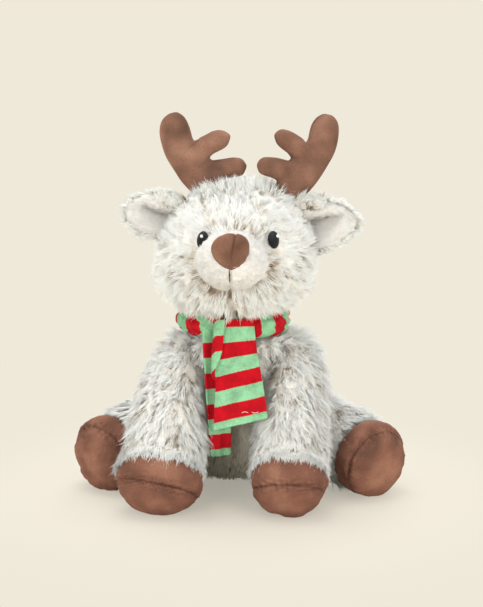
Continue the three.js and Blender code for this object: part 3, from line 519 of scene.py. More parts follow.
def outside(points, form, clearance):
    """Points that lie inside a level form, made larger by the clearance, are moved level out to its skin: the
    offset from the ring's middle is divided by its own share of the ring's half width and depth."""
    middle = np.stack(level_at(form, points[..., 2], 0, 1), -1)
    half = np.stack([np.interp(points[..., 2], form[:, 2], form[:, column], 0, 0) for column in (9, 10)], -1)
    half = np.where(half > 0, half + clearance, 1e-9)
    offset = points[..., :2] - middle
    share = np.linalg.norm(offset / half, axis=-1, keepdims=True)
    moved = middle + offset / np.clip(share, 1e-6, 1)
    return np.concatenate([moved, points[..., 2:]], -1)


def body_parting(points):
    """How much the body's pile parts: the tops of a ripple."""
    return np.clip(0.7 * ripple(points, tuft_size, 8) - 0.2, 0.02, 0.6)


body_skin = lumpy(skin_grid(body_form, 70, 96, ground_depth), 0.0012, 1)
cover = mark(closed_skin("body_cover_fabric", above_floor(body_skin)), 0.4 * body_parting(body_skin))
stuffed(0.8, cover, long_pile_backing, "torso", "long_pile", "body_cover")


def on_body(points, angle, along):
    """Where the body's long pile grows: not under the seat, on the belly panel or inside the scarf's loop."""
    in_panel = (np.abs(points[:, 0] - seat[0]) < panel_half_width) & (points[:, 2] < panel_top - panel_lap)
    near_neck = np.hypot(points[:, 0] - seat[0], points[:, 1] - seat[1] + body_lean) < neck_hole
    covered = in_panel & (points[:, 1] < 0) | near_neck & (points[:, 2] > neck_hole_height)
    return ~covered & (points[:, 2] > least_root_height)


for name, front in (("body_pile_front", True), ("body_pile_back", False)):
    rng = np.random.default_rng(11 + front)
    angle, along = scatter(body_form, body_locks[front], rng, half_of(on_body, front))
    normals = facing(body_form, angle, along)
    roots = skin(body_form, angle, along) - normals * pile_depth
    comb = -up_way + 0.25 * unit(normals * (1, 1, 0)) + 0.35 * np.sign(roots[:, :1] - seat[0]) * across_way
    collar = climb(roots[:, 2], collar_height, collar_reach)
    comb = comb + 1.2 * collar[:, None] * unit((roots - seat) * (1, 1, 0))
    mesh = pile(
        name, roots, normals, comb, rng, pile_length * (1 + 0.1 * collar), lock_radius, per_lock=11,
        lean=(0.6 - 0.2 * collar, 1.32 - 0.3 * collar), gather=lock_gather,
        width=pile_widths[front], keep_out=above_floor,
        parted=body_parting(roots) * (1 - 0.8 * collar), softness=0.85 - 0.5 * collar,
    )
    piece(mesh, long_pile, "torso", "long_pile")

# Belly panel
# A patch of shorter, greyer plush let into the cover between the front legs, sewn round its edge.
# Its middle stands proud, its lower edge is a rise above the floor, and its pile keeps above the edge's height.
panel_proud = 0.003
panel_rise = 0.003
panel_out = 0.001 - pile_depth
panel_edge = 0.0095
belly_pile_length = 0.0065
belly_locks = 700
panel_rows, panel_columns = 40, 72
belly_pile = pile_material(
    "belly_pile_polyester",
    [(0.0, "#8F8978"), (0.5, "#B5B09F"), (1.0, "#C9C5B4")],
    [(0.0, "#6B6352"), (0.5, "#9A9482"), (1.0, "#BFBBAA")],
)
belly_backing = backing_material("belly_pile_backing", "#8A8578", "#A9A598", weave_grain)


def body_front(points, out):
    """Points across and up moved on to the body's front, a distance out from it."""
    middle, wide, deep = level_at(body_form, points[..., 1], 1, 9, 10)
    off = np.clip(points[..., 0] / np.maximum(wide, 1e-6), -0.99, 0.99)
    return np.stack([seat[0] + points[..., 0], middle - deep * np.sqrt(1 - off**2) - out, points[..., 1]], -1)


turn = turns(panel_columns)
round_way = np.stack([np.cos(turn), np.sin(turn)], -1)
square = np.abs(round_way).max(-1, keepdims=True) ** 0.6
polar = np.linspace(0, np.pi, panel_rows + 2)[1:-1, None]
flat = round_way / square * np.sin(polar)[..., None] * (panel_half_width, panel_height / 2)
panel = body_front(flat + (0, panel_height / 2 + panel_rise), panel_out + panel_proud * np.cos(polar))
mesh = closed_skin("belly_panel_plush", above_floor(panel)[::-1])
stuffed(0.6, mesh, belly_backing, "torso", "belly_pile", "belly_panel")
rng = np.random.default_rng(21)
flat = rng.uniform((-1, 0.17), (1, 1), (belly_locks, 2)) * (panel_half_width - 0.001, panel_height - panel_rise)
roots = body_front(flat, -pile_depth + 0.003)
normals = unit((roots - seat) * (1, 1, 0))
mesh = pile(
    "belly_pile", roots, normals, -up_way + 0 * normals, rng, belly_pile_length, 0.0024, per_lock=9,
    lean=(1.1, 1.5), gather=0.3, width=0.0007, wander=0.04,
    keep_out=lambda points: above_floor(points, panel_edge), softness=1, swing=0.08,
)
piece(mesh, belly_pile, "torso", "belly_pile")

# Stuffing and pellet pouch
# Loose polyester fibre fills the cover, and a bag of pellets in the seat keeps the toy upright.
fibre = backing_material("polyester_fibre", "#E9E8E4", "#FAFAF7", 0.002)
pouch_cloth = backing_material("cotton_pouch", "#CFCABD", "#DEDACE", fine_grain)
ground_thickness = 0.005


def thinner(form, depth):
    """The form with a depth taken off its half widths."""
    return np.hstack([form[:, :9], np.maximum(form[:, 9:] - depth, 0)])


def wadding(name, node, body, form, start, end, seed, slot="stuffing", material=fibre, within=above_floor):
    """Stuffing: a thinner form's skin from start to end, inside the pile's ground, and lumpy by a ripple.
    Within moves points that may not lie where they are."""
    inner = thinner(form, pile_depth + ground_thickness)
    points = lumpy(skin_grid(inner, 24, 40, 0, start, end), 0.0015, seed)
    stuffed(0.8, closed_skin(name, within(points)), material, body, slot, node)


def at_height(form, height):
    """The place along a level form where its rings reach a height."""
    return np.interp(height, form[:, 2], np.linspace(0, 1, len(form)))


start = at_height(body_form, corners("body_stuffing")[0][2] + seat_clearance)
wadding("body_wadding", "body_stuffing", "torso", body_form, start, 0.8, 32)
low, high = corners("pellet_pouch")
start, end = at_height(body_form, low[2] + 0.004), at_height(body_form, high[2] - 0.002)
wadding("pellet_bag", "pellet_pouch", "torso", body_form, start, end, 31, "pouch_cloth", pouch_cloth)
low, high = corners("neck")
neck_shares = np.array([[0, 0.7], [0.15, 0.86], [0.5, 0.88], [0.8, 0.6], [0.95, 0]])
neck_form = level_form(
    np.column_stack([neck_shares, neck_shares[:, 1], np.zeros(5)]),
    low[2] + 0.002, high[2] - low[2], (high[0] - low[0]) / 2, (high[1] - low[1]) / 2, (low + high) / 2, 0,
)
wadding("neck_wadding", "neck", "neck", neck_form, 0.0, 1.0, 34)

# Head cover
# The same long pile, sewn into a wide ball and combed outwards from the muzzle, so that the brown roots show
# where it parts above the nose, beside the cheeks and round the eyes.
head_shares = np.array([
    [0.0, 0.0, 0.0, 1.0], [0.0, 0.56, 0.62, 1.0], [0.06, 0.8, 0.83, 1.05], [0.16, 0.93, 0.94, 1.1],
    [0.31, 1.0, 1.0, 1.1], [0.47, 0.985, 1.0, 1.0], [0.63, 0.93, 0.95, 0.85], [0.77, 0.83, 0.83, 0.65],
    [0.88, 0.68, 0.68, 0.5], [0.955, 0.48, 0.5, 0.4], [0.995, 0.22, 0.24, 0.35], [1.0, 0.0, 0.0, 0.35],
])
head_base = 0.163
head_height = 0.109
head_half_width, head_half_depth = 0.069, 0.06
head_forward = 0.018
head_aside = -0.0065
muzzle_at = seat + (-0.0035, -body_lean - 0.07, 0.2115)
eye_height = 0.2284
eye_spread = {"right": -0.0288, "left": 0.03}
eye_clear = 0.0074
muzzle_rim, muzzle_clear = (0.03, 0.0245), (0.0275, 0.0222)
face_depth = 0.07
chin_height = 0.215
head_hole, head_hole_height, head_hole_back = 0.04, 0.185, 0.015
head_wadding_base = 0.187
head_pile_length, head_lock_radius = 0.0118, 0.0032
head_locks = {True: 1180, False: 740}
crown_height, crown_reach = 0.228, 0.014

head_middle = seat - (0, body_lean, 0)
head_form = level_form(
    head_shares, head_base, head_height, head_half_width, head_half_depth, head_middle, head_forward
)
head_form[:, 0] += head_aside * (1 - head_shares[:, 0])


def on_head(aside, height):
    """The point of the head's front at a distance to the side and a height, and the way out from it."""
    level, middle, wide, deep = level_at(head_form, height, 0, 1, 9, 10)
    off = np.clip((seat[0] + aside - level) / wide, -1, 1)
    point = np.stack(np.broadcast_arrays(seat[0] + aside, middle - deep * np.sqrt(1 - off**2), height), -1)
    return point, unit(point - (head_middle + (0, -head_forward, 0) + up_way * height))


eye_at = {side: on_head(spread, eye_height)[0] for side, spread in eye_spread.items()}
# Each parting runs from one place to the other, across and up, with its half width and how much it shows.
parting_lines = (
    ((-0.033, 0.262), (-0.024, 0.24), 0.003, 0.55),
    ((0.018, 0.254), (0.037, 0.23), 0.003, 0.4),
    ((-0.0065, 0.19), (-0.001, 0.166), 0.0035, 0.8),
    ((-0.03, 0.205), (-0.018, 0.186), 0.004, 0.8),
)


def from_line(points, start, end):
    """The distance across and up from each point to the line between two places, from its nearest place."""
    flat = points[:, ::2] - (seat[0], 0)
    start, end = np.array(start), np.array(end)
    share = np.clip((flat - start) @ (end - start) / ((end - start) @ (end - start)), 0, 1)
    return flat - start - share[:, None] * (end - start)


def head_parting(points):
    """How much the head's pile parts: a broken ring round the muzzle, ripples below the eyes and the parting
    lines, less near the eyes, and hardly at all behind the face."""
    away = points - muzzle_at
    rim = np.hypot(away[:, 0] / muzzle_rim[0], away[:, 2] / muzzle_rim[1])
    shown = bell(rim - 1.13, 0.2) * np.clip(0.55 + 0.9 * ripple(points, 0.016, 9), 0, 1)
    shown = shown + np.clip(0.9 * ripple(points, 0.012, 10) - 0.4, 0, 0.8) * (points[:, 2] < 0.225)
    for start, end, reach, weight in parting_lines:
        shown = shown + weight * bell(np.linalg.norm(from_line(points, start, end), axis=-1), reach)
    for at in eye_at.values():
        shown = shown * np.clip((np.linalg.norm(points - at, axis=-1) - 0.007) / 0.004, 0.1, 1)
    return np.where(points[:, 1] < muzzle_at[1] + face_depth, shown, 0.05)


head_skin = lumpy(skin_grid(head_form, 80, 112, ground_depth), 0.001, 2)
cover = mark(closed_skin("head_cover_fabric", head_skin), 0.5 * head_parting(head_skin.reshape(-1, 3)))
stuffed(0.85, cover, long_pile_backing, "head", "long_pile", "head_cover")
start = at_height(head_form, head_wadding_base)
wadding("head_wadding", "head_stuffing", "head", head_form, start, 0.78, 33)


def on_crown(points, angle, along):
    """Where the head's long pile grows: not under the muzzle, on the eyes or inside the neck's opening."""
    away = points - muzzle_at
    near_neck = np.hypot(points[:, 0] - seat[0], points[:, 1] - head_middle[1]) < head_hole
    near_neck &= (points[:, 2] < head_hole_height) & (points[:, 1] < head_middle[1] + head_hole_back)
    clear = np.hypot(away[:, 0] / muzzle_clear[0], away[:, 2] / muzzle_clear[1]) > 1
    clear |= points[:, 1] > head_middle[1]
    for at in eye_at.values():
        clear &= np.linalg.norm(points - at, axis=-1) > eye_clear
    return clear & ~near_neck


for name, front in (("head_pile_front", True), ("head_pile_back", False)):
    rng = np.random.default_rng(41 + front)
    angle, along = scatter(head_form, head_locks[front], rng, half_of(on_crown, front))
    normals = facing(head_form, angle, along)
    surface = skin(head_form, angle, along)
    swirl = np.stack([ripple(surface, 0.05, seed) for seed in (3, 4, 5)], -1)
    comb = unit(surface - muzzle_at) + 0.2 * swirl - 0.3 * up_way * (surface[:, 2:] < 0.22)
    hanging = climb(surface[:, 2:], chin_height, -0.03) * (surface[:, 1:2] > head_middle[1])
    comb = comb - 1.5 * up_way * hanging
    for start, end, reach, _ in parting_lines:
        off = from_line(surface, start, end)
        near = bell(np.linalg.norm(off, axis=-1, keepdims=True), reach)
        comb = comb + 0.9 * near * np.sign(off[:, :1]) * across_way
    shown = head_parting(surface)
    near = np.min([np.linalg.norm(surface - at, axis=-1) for at in eye_at.values()], 0)
    upright = climb(normals[:, 2], 0.75, 0.2)
    comb = comb + 2 * (upright * np.sign(muzzle_at[1] + face_depth - surface[:, 1]))[:, None] * -back_way
    length = head_pile_length * (0.3 + 0.7 * climb(near, 0.0072, 0.012))
    length = length * (1 - 0.25 * climb(surface[:, 2], crown_height, crown_reach)) * (1 + 0.15 * upright)
    mesh = pile(
        name, surface - normals * pile_depth, normals, comb, rng, length, head_lock_radius,
        lean=np.array([0.65, 1.4])[:, None] - np.array([0.5, 0.75])[:, None] * upright,
        gather=0.25 + 0.4 * np.clip(shown, 0, 1), width=pile_widths[front], parted=shown,
        softness=0.85 - 0.65 * upright,
    )
    piece(mesh, long_pile, "head", "long_pile")

# Muzzle
# Short cream plush in two cheeks, joined by an upright seam that is drawn in below the nose.
muzzle_shares = np.array(
    [[0.0, 0.0], [0.0, 0.98], [0.3, 1.0], [0.55, 0.94], [0.76, 0.78], [0.91, 0.52], [0.985, 0.22], [1.0, 0.0]]
)
muzzle_half_width, muzzle_half_height = 0.0285, 0.0228
muzzle_reach, muzzle_sunk = 0.034, 0.014
muzzle_groove, muzzle_groove_width = 0.0022, 0.0022
muzzle_height, muzzle_aside = 0.2118, -0.0042
muzzle_ground = 0.0008
plush_length, plush_width = 0.0034, 0.0006
muzzle_locks = 1100
short_pile = pile_material(
    "short_pile_polyester",
    [(0.0, "#E8E5DC"), (0.5, "#F3F0EA"), (1.0, "#F8F6F1")],
    [(0.0, "#D8D1C0"), (0.5, "#E9E4DA"), (1.0, "#F4F1EA")],
)
short_backing = backing_material("short_pile_backing", "#E2DCD0", "#EFEBE1", fine_grain)


def front_form(shares, root, reach, half_width, half_height):
    """Upright oval rings one before the other. Each row has the shares of the reach and of the half sizes."""
    ahead, wide = shares.T
    middle = root + ahead[:, None] * reach * -back_way
    return ring_form(middle, across_way, up_way, half_width * wide, half_height * wide)


muzzle_root = on_head(muzzle_aside, muzzle_height)[0] + (0, muzzle_sunk, 0)
muzzle_form = front_form(
    muzzle_shares, muzzle_root, muzzle_reach + muzzle_sunk, muzzle_half_width, muzzle_half_height
)


def plush(name, body, *locks):
    """Short pile: small locks that hardly gather."""
    mesh = pile(name, *locks, per_lock=8, lean=(0.7, 1.4), gather=0.15, width=plush_width, softness=1)
    piece(mesh, short_pile, body, "short_pile")


def muzzle_seam(points):
    """How far the seam draws the muzzle in: a groove over the middle, deeper below the nose."""
    across = bell(points[..., 0] - muzzle_root[0], muzzle_groove_width)
    below = climb(points[..., 2], muzzle_height + 0.004, -0.012)
    return muzzle_groove * across * (0.25 + 0.75 * below)


angle, along = turns(160), np.linspace(0, 1, 72)[:, None]
muzzle_skin, muzzle_out = skin(muzzle_form, angle, along), facing(muzzle_form, angle, along)
muzzle_skin = muzzle_skin - muzzle_out * (muzzle_seam(muzzle_skin) + muzzle_ground)[..., None]
muzzle_skin = outside(lumpy(muzzle_skin, 0.0004, 6, 0.02), head_form, -0.0052)
stuffed(0.9, closed_skin("muzzle_plush", muzzle_skin), short_backing, "head", "short_pile", "muzzle")
rng = np.random.default_rng(51)
angle, along = scatter(muzzle_form, muzzle_locks, rng, lambda points, angle, along: along > 0.2)
normals = facing(muzzle_form, angle, along)
roots = skin(muzzle_form, angle, along)
roots = roots - normals * (muzzle_seam(roots) + 0.001)[:, None]
comb = unit((roots - muzzle_root) * (1, 0, 1)) + 0.6 * back_way
plush("muzzle_pile", "head", roots, normals, comb, rng, plush_length, 0.002)

# Nose
# A rounded triangle of brown velour, stuffed, with an upright seam and its point sewn down on the muzzle.
nose_shares = np.array([[0, 0], [0, 0.92], [0.35, 1], [0.65, 0.9], [0.87, 0.62], [0.97, 0.28], [1, 0]])
nose_half_width, nose_half_height = 0.0147, 0.0146
nose_proud, nose_sunk, nose_rise, nose_aside = 0.0035, 0.008, 0.0114, -0.0033
nose_taper, nose_tilt = 0.24, math.radians(9)
velour_patch, velour_grain, velour_bump = 0.02, 0.0015, 0.0004
nose_seam_depth, nose_seam_width, nose_seam_aside, nose_seam_slant = 0.0012, 0.0009, 0.0012, 0.18


def velour_material(name, shade, mid, light):
    """Knitted velour: a dense short pile that looks lighter or darker in soft patches as it is brushed one way
    or the other (about 20 mm), with a fine grain of pile ends (1.5 mm) and a soft sheen towards its edges. It
    is darkened with painted shade where the mesh's own attribute of crease shade is high, as in the groove and
    gathers of a seam."""
    material, tree, shader = cloth_material(name, 0.85, 0.35, light)
    place = add(tree, "TexCoord")
    brushed = add(tree, "TexNoise", {"Vector": place.outputs["Object"], "Scale": 1 / velour_patch, "Detail": 1})
    grain = add(tree, "TexNoise", {"Vector": place.outputs["Object"], "Scale": 1 / velour_grain, "Detail": 3})
    patches = add(tree, "ValToRGB", {0: brushed.outputs[0]})
    set_stops(patches, ((0.25, shade), (0.5, mid), (0.75, light)))
    speckle = add(tree, "MapRange", {0: grain.outputs[0], 1: 0.3, 2: 0.7, 3: 0.86, 4: 1.1})
    # Painted shade: the colour falls to 0.45 of itself where the seam's groove and gathers are.
    crease = add(tree, "Attribute", attribute_name="crease")
    darker = add(tree, "MapRange", {0: crease.outputs["Fac"], 3: 1.0, 4: 0.45})
    speckle = add(tree, "Math", {0: speckle.outputs[0], 1: darker.outputs[0]}, operation="MULTIPLY")
    colour = add(tree, "VectorMath", {0: patches.outputs[0], 3: speckle.outputs[0]}, operation="SCALE")
    surface_of(tree, shader, colour.outputs[0], grain.outputs[0], velour_bump, 0.7)
    return material


velour = velour_material("brown_velour", "#644538", "#7E5545", "#956A55")
nose_root = on_head(nose_aside, muzzle_height)[0] + (0, nose_sunk - muzzle_reach, nose_rise)
nose_form = front_form(nose_shares, nose_root, nose_proud + nose_sunk, nose_half_width, nose_half_height)
angle, along = turns(144), np.linspace(0, 1, 48)[:, None]
nose_skin = skin(nose_form, angle, along)
nose_middle = nose_skin.mean(1, keepdims=True)
off = (nose_skin - nose_middle) * np.stack([1 + nose_taper * np.sin(angle), 0 * angle + 1, 0 * angle + 1], -1)
nose_skin = nose_middle + off @ np.array(Matrix.Rotation(nose_tilt, 3, "Y"))
above = nose_skin[..., 2] - nose_root[2]
line = nose_skin[..., 0] - nose_root[0] - nose_seam_aside - nose_seam_slant * above
nose_fade = np.clip(0.45 + above / 0.02, 0.1, 0.8)
seam = nose_seam_depth * nose_fade * bell(line, nose_seam_width) + 0.0002 * ripple(nose_skin, 0.008, 7)
nose_skin = nose_skin - facing(nose_form, angle, along) * seam[..., None]
nose_velour = velour_material("brown_velour_nose", "#634536", "#7F5B49", "#98705B")
# The nose's seam line is darkened with painted shade, stronger towards the top as the groove is.
nose = mark(closed_skin("nose_velour", nose_skin), bell(line, 0.0008) * nose_fade, "crease")
stuffed(0.95, nose, nose_velour, "head", "brown_velour", "nose")

# Mouth
# One thick dark thread from the nose's point down the muzzle's seam, with a small knot in its middle.
thread_radius = 0.00038
mouth_length = 0.0108
thread = backing_material("dark_embroidery_thread", "#15171B", "#2A2D33", 0.0006)


def tube(name, path, radii, sides=16):
    """A closed tube: circles of these radii round the points of a path, square to its way."""
    way = unit(np.gradient(path, axis=0))
    first = unit(np.cross(way, back_way + 0.3 * across_way))
    second = np.cross(way, first)
    turn = turns(sides)[:, None]
    circle = first[:, None] * np.cos(turn) + second[:, None] * np.sin(turn)
    return closed_skin(name, path[:, None] + radii[:, None, None] * circle)


def muzzle_front(height):
    """The point of the muzzle's seam at a height, found on the form's lowest line."""
    along = np.linspace(0.3, 0.999, 200)
    line = skin(muzzle_form, np.full(200, -np.pi / 2), along)
    order = np.argsort(line[:, 2])
    return np.array([muzzle_root[0], np.interp(height, line[order, 2], line[order, 1]), height])


mouth_top = muzzle_height + nose_rise - nose_half_height + 0.001
shares = np.linspace(0, 1, 24)
path = np.array([muzzle_front(mouth_top - mouth_length * share) for share in shares])
path[:, 1] -= 0.0012 - muzzle_groove * 0.4
knot = 1 + 0.5 * bell(shares - 0.42, 0.08)
radii = thread_radius * knot * np.clip(8 * np.minimum(shares, 1 - shares) + 0.3, 0, 1)
piece(tube("mouth_thread", path, radii), thread, "head", "dark_thread", "mouth_stitch")

# Eyes
# Dense satin stitch in dark thread, laid over padding so that it stands up, with a stitched pale highlight.
eye_half_width, eye_half_height, eye_raise, eye_sunk = 0.0048, 0.0075, 0.0042, 0.005
eye_tilt = {"right": math.radians(-14), "left": math.radians(8)}
highlight_radius, highlight_raise, highlight_sunk = 0.0014, 0.0009, 0.0005
highlight_place = {"right": (0.0014, 0.0034), "left": (0.0018, 0.0034)}
stitch_width = 0.0005
eye_material, tree, shader = cloth_material("satin_stitched_thread", 0.4, 0.0)
shader.inputs["Specular IOR Level"].default_value = 0.3
place = add(tree, "TexCoord")
run = add(tree, "SeparateXYZ", {0: place.outputs["Object"]})
ridge = add(tree, "Math", {0: run.outputs["Z"], 1: 2 * math.pi / stitch_width}, operation="MULTIPLY")
ridge = add(tree, "Math", {0: ridge.outputs[0]}, operation="SINE")
shade = add(tree, "MapRange", {0: ridge.outputs[0], 1: -1.0, 2: 1.0, 3: 0.0, 4: 1.0})
# Painted shade and light: the thread is darker between the stitch ridges and lighter on their tops, following
# the same ridges as the bump.
colour = add(tree, "Mix", {0: shade.outputs[0], 6: linear("#08090B"), 7: linear("#1B1E23")}, data_type="RGBA")
surface_of(tree, shader, colour.outputs[2], shade.outputs[0], 0.0002, 0.8)
white_thread = backing_material("white_embroidery_thread", "#E8E8E6", "#FFFFFF", 0.0005)


def dome(name, centre, out, half_width, half_height, raised, sunk, tilt=0.0):
    """A raised patch: an ellipse's circles of latitude, raised as the cosine in front and sunk behind."""
    side = unit(np.cross(up_way, out))
    top = np.cross(out, side)
    side, top = side * math.cos(tilt) + top * math.sin(tilt), top * math.cos(tilt) - side * math.sin(tilt)
    polar, turn = np.linspace(np.pi, 0, 33)[1:-1, None], turns(48)
    flat = half_width * np.cos(turn)[:, None] * side + half_height * np.sin(turn)[:, None] * top
    depth = np.where(np.cos(polar) > 0, raised, sunk) * np.cos(polar)
    return closed_skin(name, centre + np.sin(polar)[..., None] * flat + depth[..., None] * out)


for side, at in eye_at.items():
    out = on_head(eye_spread[side], eye_height)[1]
    size = (eye_half_width, eye_half_height, eye_raise, eye_sunk)
    mesh = dome(f"eye_embroidery_{side}", at, out, *size, eye_tilt[side])
    piece(mesh, eye_material, "head", "dark_thread", f"eye_{side}")
    aside, up = highlight_place[side]
    spot = at + out * eye_raise * 0.82 + unit(np.cross(up_way, out)) * aside + up_way * up
    size = (highlight_radius, highlight_radius, highlight_raise, highlight_sunk)
    mesh = dome(f"eye_highlight_stitch_{side}", spot, out, *size)
    piece(mesh, white_thread, "head", "white_thread", f"eye_highlight_{side}")

# Ears
# A leaf of long pile with a lining of short cream plush that is wide enough to turn over its edge. It is
# pinched at the root, so that the lining folds into a hollow under a soft lip.
ear_front = [
    [-1.0, 0.3], [-0.8, 0.3], [-0.52, 0.16], [-0.22, -0.1], [0.04, -0.38], [0.2, -0.36], [0.16, 0.1],
    [0.36, 0.46], [0.72, 0.42], [1.0, 0.08],
]
ear_tip_front = [
    [-1.0, 0.22], [-0.8, 0.3], [-0.55, 0.26], [-0.33, 0.2], [-0.1, 0.14], [0.12, 0.14], [0.35, 0.22],
    [0.57, 0.3], [0.8, 0.27], [1.0, 0.08],
]
ear_rear = [
    [-1.0, 0.12], [-0.98, -0.15], [-0.82, -0.42], [-0.5, -0.62], [-0.15, -0.72], [0.2, -0.7], [0.5, -0.6],
    [0.8, -0.42], [0.98, -0.2], [1.0, -0.06],
]
ear_shares = {
    "right": [0.84, 0.94, 1.0, 1.0, 0.98, 0.92, 0.76, 0.4],
    "left": [0.98, 1.02, 1.0, 0.96, 0.88, 0.78, 0.62, 0.3],
}
ear_length = {"right": 0.044, "left": 0.0485}
ear_half_height = {"right": 0.0168, "left": 0.0185}
ear_drop = {"right": 0.0, "left": 0.6}
ear_slope = {"right": 0.55, "left": 0.75}
ear_sunk = 0.0075
ear_height = {"right": 0.2435, "left": 0.2405}
ear_lift = {"right": math.radians(2), "left": math.radians(-4)}
ear_toe = {"right": math.radians(-8), "left": math.radians(-12)}
ear_locks, lip_locks, edge_locks, lining_locks = 460, 110, 60, 560
ear_pile_length, lip_pile_length, edge_pile_length, lining_pile_length = 0.0085, 0.0075, 0.004, 0.0026
hand = {"right": -1, "left": 1}


def ear_point(side, along, across, layer):
    """A point of the ear: out along its length, then up and forward by a section read across it. The front
    section changes from the creased one to the tip's plain one, and slopes up outwards. The layer runs from 0
    on the lining's face to 1 on the furry back."""
    shares = np.array(ear_shares[side])[:, None]
    size = ear_half_height[side] * between(shares, along * (len(shares) - 1))
    place = (across + 1) / 2 * (len(ear_front) - 1)
    opened = climb(along[..., None], 0.35, 0.4) ** 1.5
    section = [between(np.array(rows), place) for rows in (ear_front, ear_tip_front, ear_rear)]
    front = section[0] + (section[1] - section[0]) * opened
    front = front + (ear_slope[side] * (along - 0.3) * (1 - across**2))[..., None] * (1, 0)
    flat = front + (section[2] - front) * layer[..., None]
    dropped = 1 + ear_drop[side] * (1 - along) * (flat[..., 0] < 0)
    level, middle, width = level_at(head_form, ear_height[side], 0, 1, 9)
    root = np.array([level + hand[side] * (width - ear_sunk), middle, ear_height[side]])
    out = np.array([hand[side] * math.cos(ear_lift[side]), 0, math.sin(ear_lift[side])])
    out = np.array(Matrix.Rotation(hand[side] * ear_toe[side], 3, "Z") @ Vector(out))
    ahead = unit(-back_way - out * (-back_way @ out))
    rise = -np.cross(out, ahead) * hand[side]
    up, forward = flat[..., :1] * size * dropped[..., None], flat[..., 1:] * size
    return root + (ear_length[side] * along)[..., None] * out + up * rise + forward * ahead


def ear_shell(name, side, inner, outer):
    """A closed leaf between two layers: across the outer face, round the edge and back along the inner."""
    along = np.linspace(0.02, 1, 40)[:, None]
    turn = turns(96)
    across = np.clip(1.02 * np.cos(turn), -1, 1)
    layer = (inner + outer) / 2 + (outer - inner) / 2 * np.clip(2.4 * np.sin(turn), -1, 1)
    points = ear_point(side, *np.broadcast_arrays(along, across, layer))
    return closed_skin(name, points if side == "right" else points[:, ::-1])


def ear_ways(side, along, across, layer):
    """Points of the ear, the ways along and across it, and the normal, which points away from the lining."""
    reach = 1e-3
    points = ear_point(side, along, across, layer)
    onward = unit(ear_point(side, along + reach, across, layer) - points)
    sideways = unit(ear_point(side, along, across + reach, layer) - points)
    normals = -unit(np.cross(onward, sideways)) * hand[side]
    return points, onward, sideways, normals


for side in ("right", "left"):
    body = f"ear_{side}"
    back = ear_shell(f"ear_back_fabric_{side}", side, 0.3, 0.96)
    stuffed(0.3, back, long_pile_backing, body, "long_pile", f"ear_back_{side}")
    lining = ear_shell(f"ear_lining_plush_{side}", side, 0.0, 0.28)
    stuffed(0.2, lining, short_backing, body, "short_pile", f"ear_lining_{side}")
    rng = np.random.default_rng(61 + hand[side])
    along, across = rng.uniform(0.04, 0.99, ear_locks), rng.uniform(-1, 1, ear_locks)
    layer = np.ones(ear_locks)
    lip, edge = slice(lip_locks), slice(lip_locks, lip_locks + edge_locks)
    along[lip], across[lip] = rng.uniform(-0.1, 0.4, lip_locks), rng.uniform(0.66, 1, lip_locks)
    layer[lip] = 0
    across[edge], layer[edge] = -1, rng.uniform(0, 1, edge_locks)
    roots, onward, sideways, normals = ear_ways(side, along, across, layer)
    furry, low_edge = (layer == 1)[:, None], (across == -1)[:, None]
    normals = np.where(low_edge, -sideways, np.where(furry, normals, -normals))
    comb = onward + 0.6 * (np.abs(across) ** 3 * np.sign(across))[:, None] * sideways
    comb = np.where(furry | low_edge, comb, onward + 0.9 * sideways)
    length = np.where(across == -1, edge_pile_length, np.where(layer == 1, ear_pile_length, lip_pile_length))
    shown = np.clip(0.45 + 0.6 * ripple(roots, 0.01, 12), 0, 1) * climb(along, 0.6, -0.4)
    shown[lip] += 0.25
    mesh = pile(f"ear_pile_{side}", roots, normals, comb, rng, length, 0.0024, parted=shown, softness=0.1)
    piece(mesh, long_pile, body, "long_pile")
    along, across = rng.uniform(0.03, 0.99, lining_locks), rng.uniform(-1, 1, lining_locks)
    roots, onward, _, normals = ear_ways(side, along, across, np.zeros(lining_locks))
    plush(f"ear_lining_pile_{side}", body, roots, -normals, onward, rng, lining_pile_length, 0.0023)

# Limbs
# Each leg is one stuffed form: long pile down to a ragged hem, then a brown velour hoof with a sole sewn on
# across its tip. The front legs stand before the body and the rear legs lie out to the sides.
limb_radius = {"front": 0.035, "rear": 0.038}
limb_seat = {"front": (0.6, 0.606, 0.852), "rear": (0.69, 0.03, 0.332)}
limb_reach = {"front": {"right": 0.072, "left": 0.072}, "rear": {"right": 0.04, "left": 0.049}}
limb_splay = {"front": {"right": 0.0132, "left": -0.0062}, "rear": {"right": 0.0565, "left": 0.054}}
limb_breadth = {"front": {"right": 1.15, "left": 1.0}, "rear": {"right": 1.0, "left": 1.0}}
limb_tip = {"front": 0.026, "rear": 0.027}
limb_settle = {"front": 0.976, "rear": 1.0}
limb_toe = {"front": (0, 0.98, 0.2), "rear": (0.6, 0.8, 0)}
limb_hem = {"front": 0.88, "rear": 0.74}
hem_top = {"front": 0.634, "rear": 0.47}
limb_tilt = {"front": math.radians(-49), "rear": math.radians(-12)}
limb_shares = {
    "front": [
        [-0.02, -0.1, -0.17, 0.34], [0.0, -0.05, -0.1, 0.5], [0.1, 0.05, 0.02, 0.64], [0.35, 0.22, 0.24, 0.77],
        [0.6, 0.46, 0.48, 0.84], [0.8, 0.7, 0.72, 0.86], [0.95, 0.87, 0.92, 0.86], [1.0, 1.0, 1.0, 0.92],
    ],
    "rear": [
        [-0.3, -0.3, 0.0, 0.5], [-0.2, -0.2, 0.0, 0.84], [0.05, 0.0, 0.05, 1.0], [0.3, 0.22, 0.25, 0.93],
        [0.55, 0.46, 0.55, 0.86], [0.78, 0.7, 0.85, 0.82], [0.92, 0.88, 1.0, 0.83], [1.0, 1.0, 1.0, 0.87],
    ],
}
hoof_tip_shares = ((0.38, 0.89), (0.7, 0.73), (0.92, 0.44), (1.0, 0.0))
shoulder_height = 0.1385
pile_clearance, cloth_clearance, floor_gap = -0.004, -0.005, 0.004
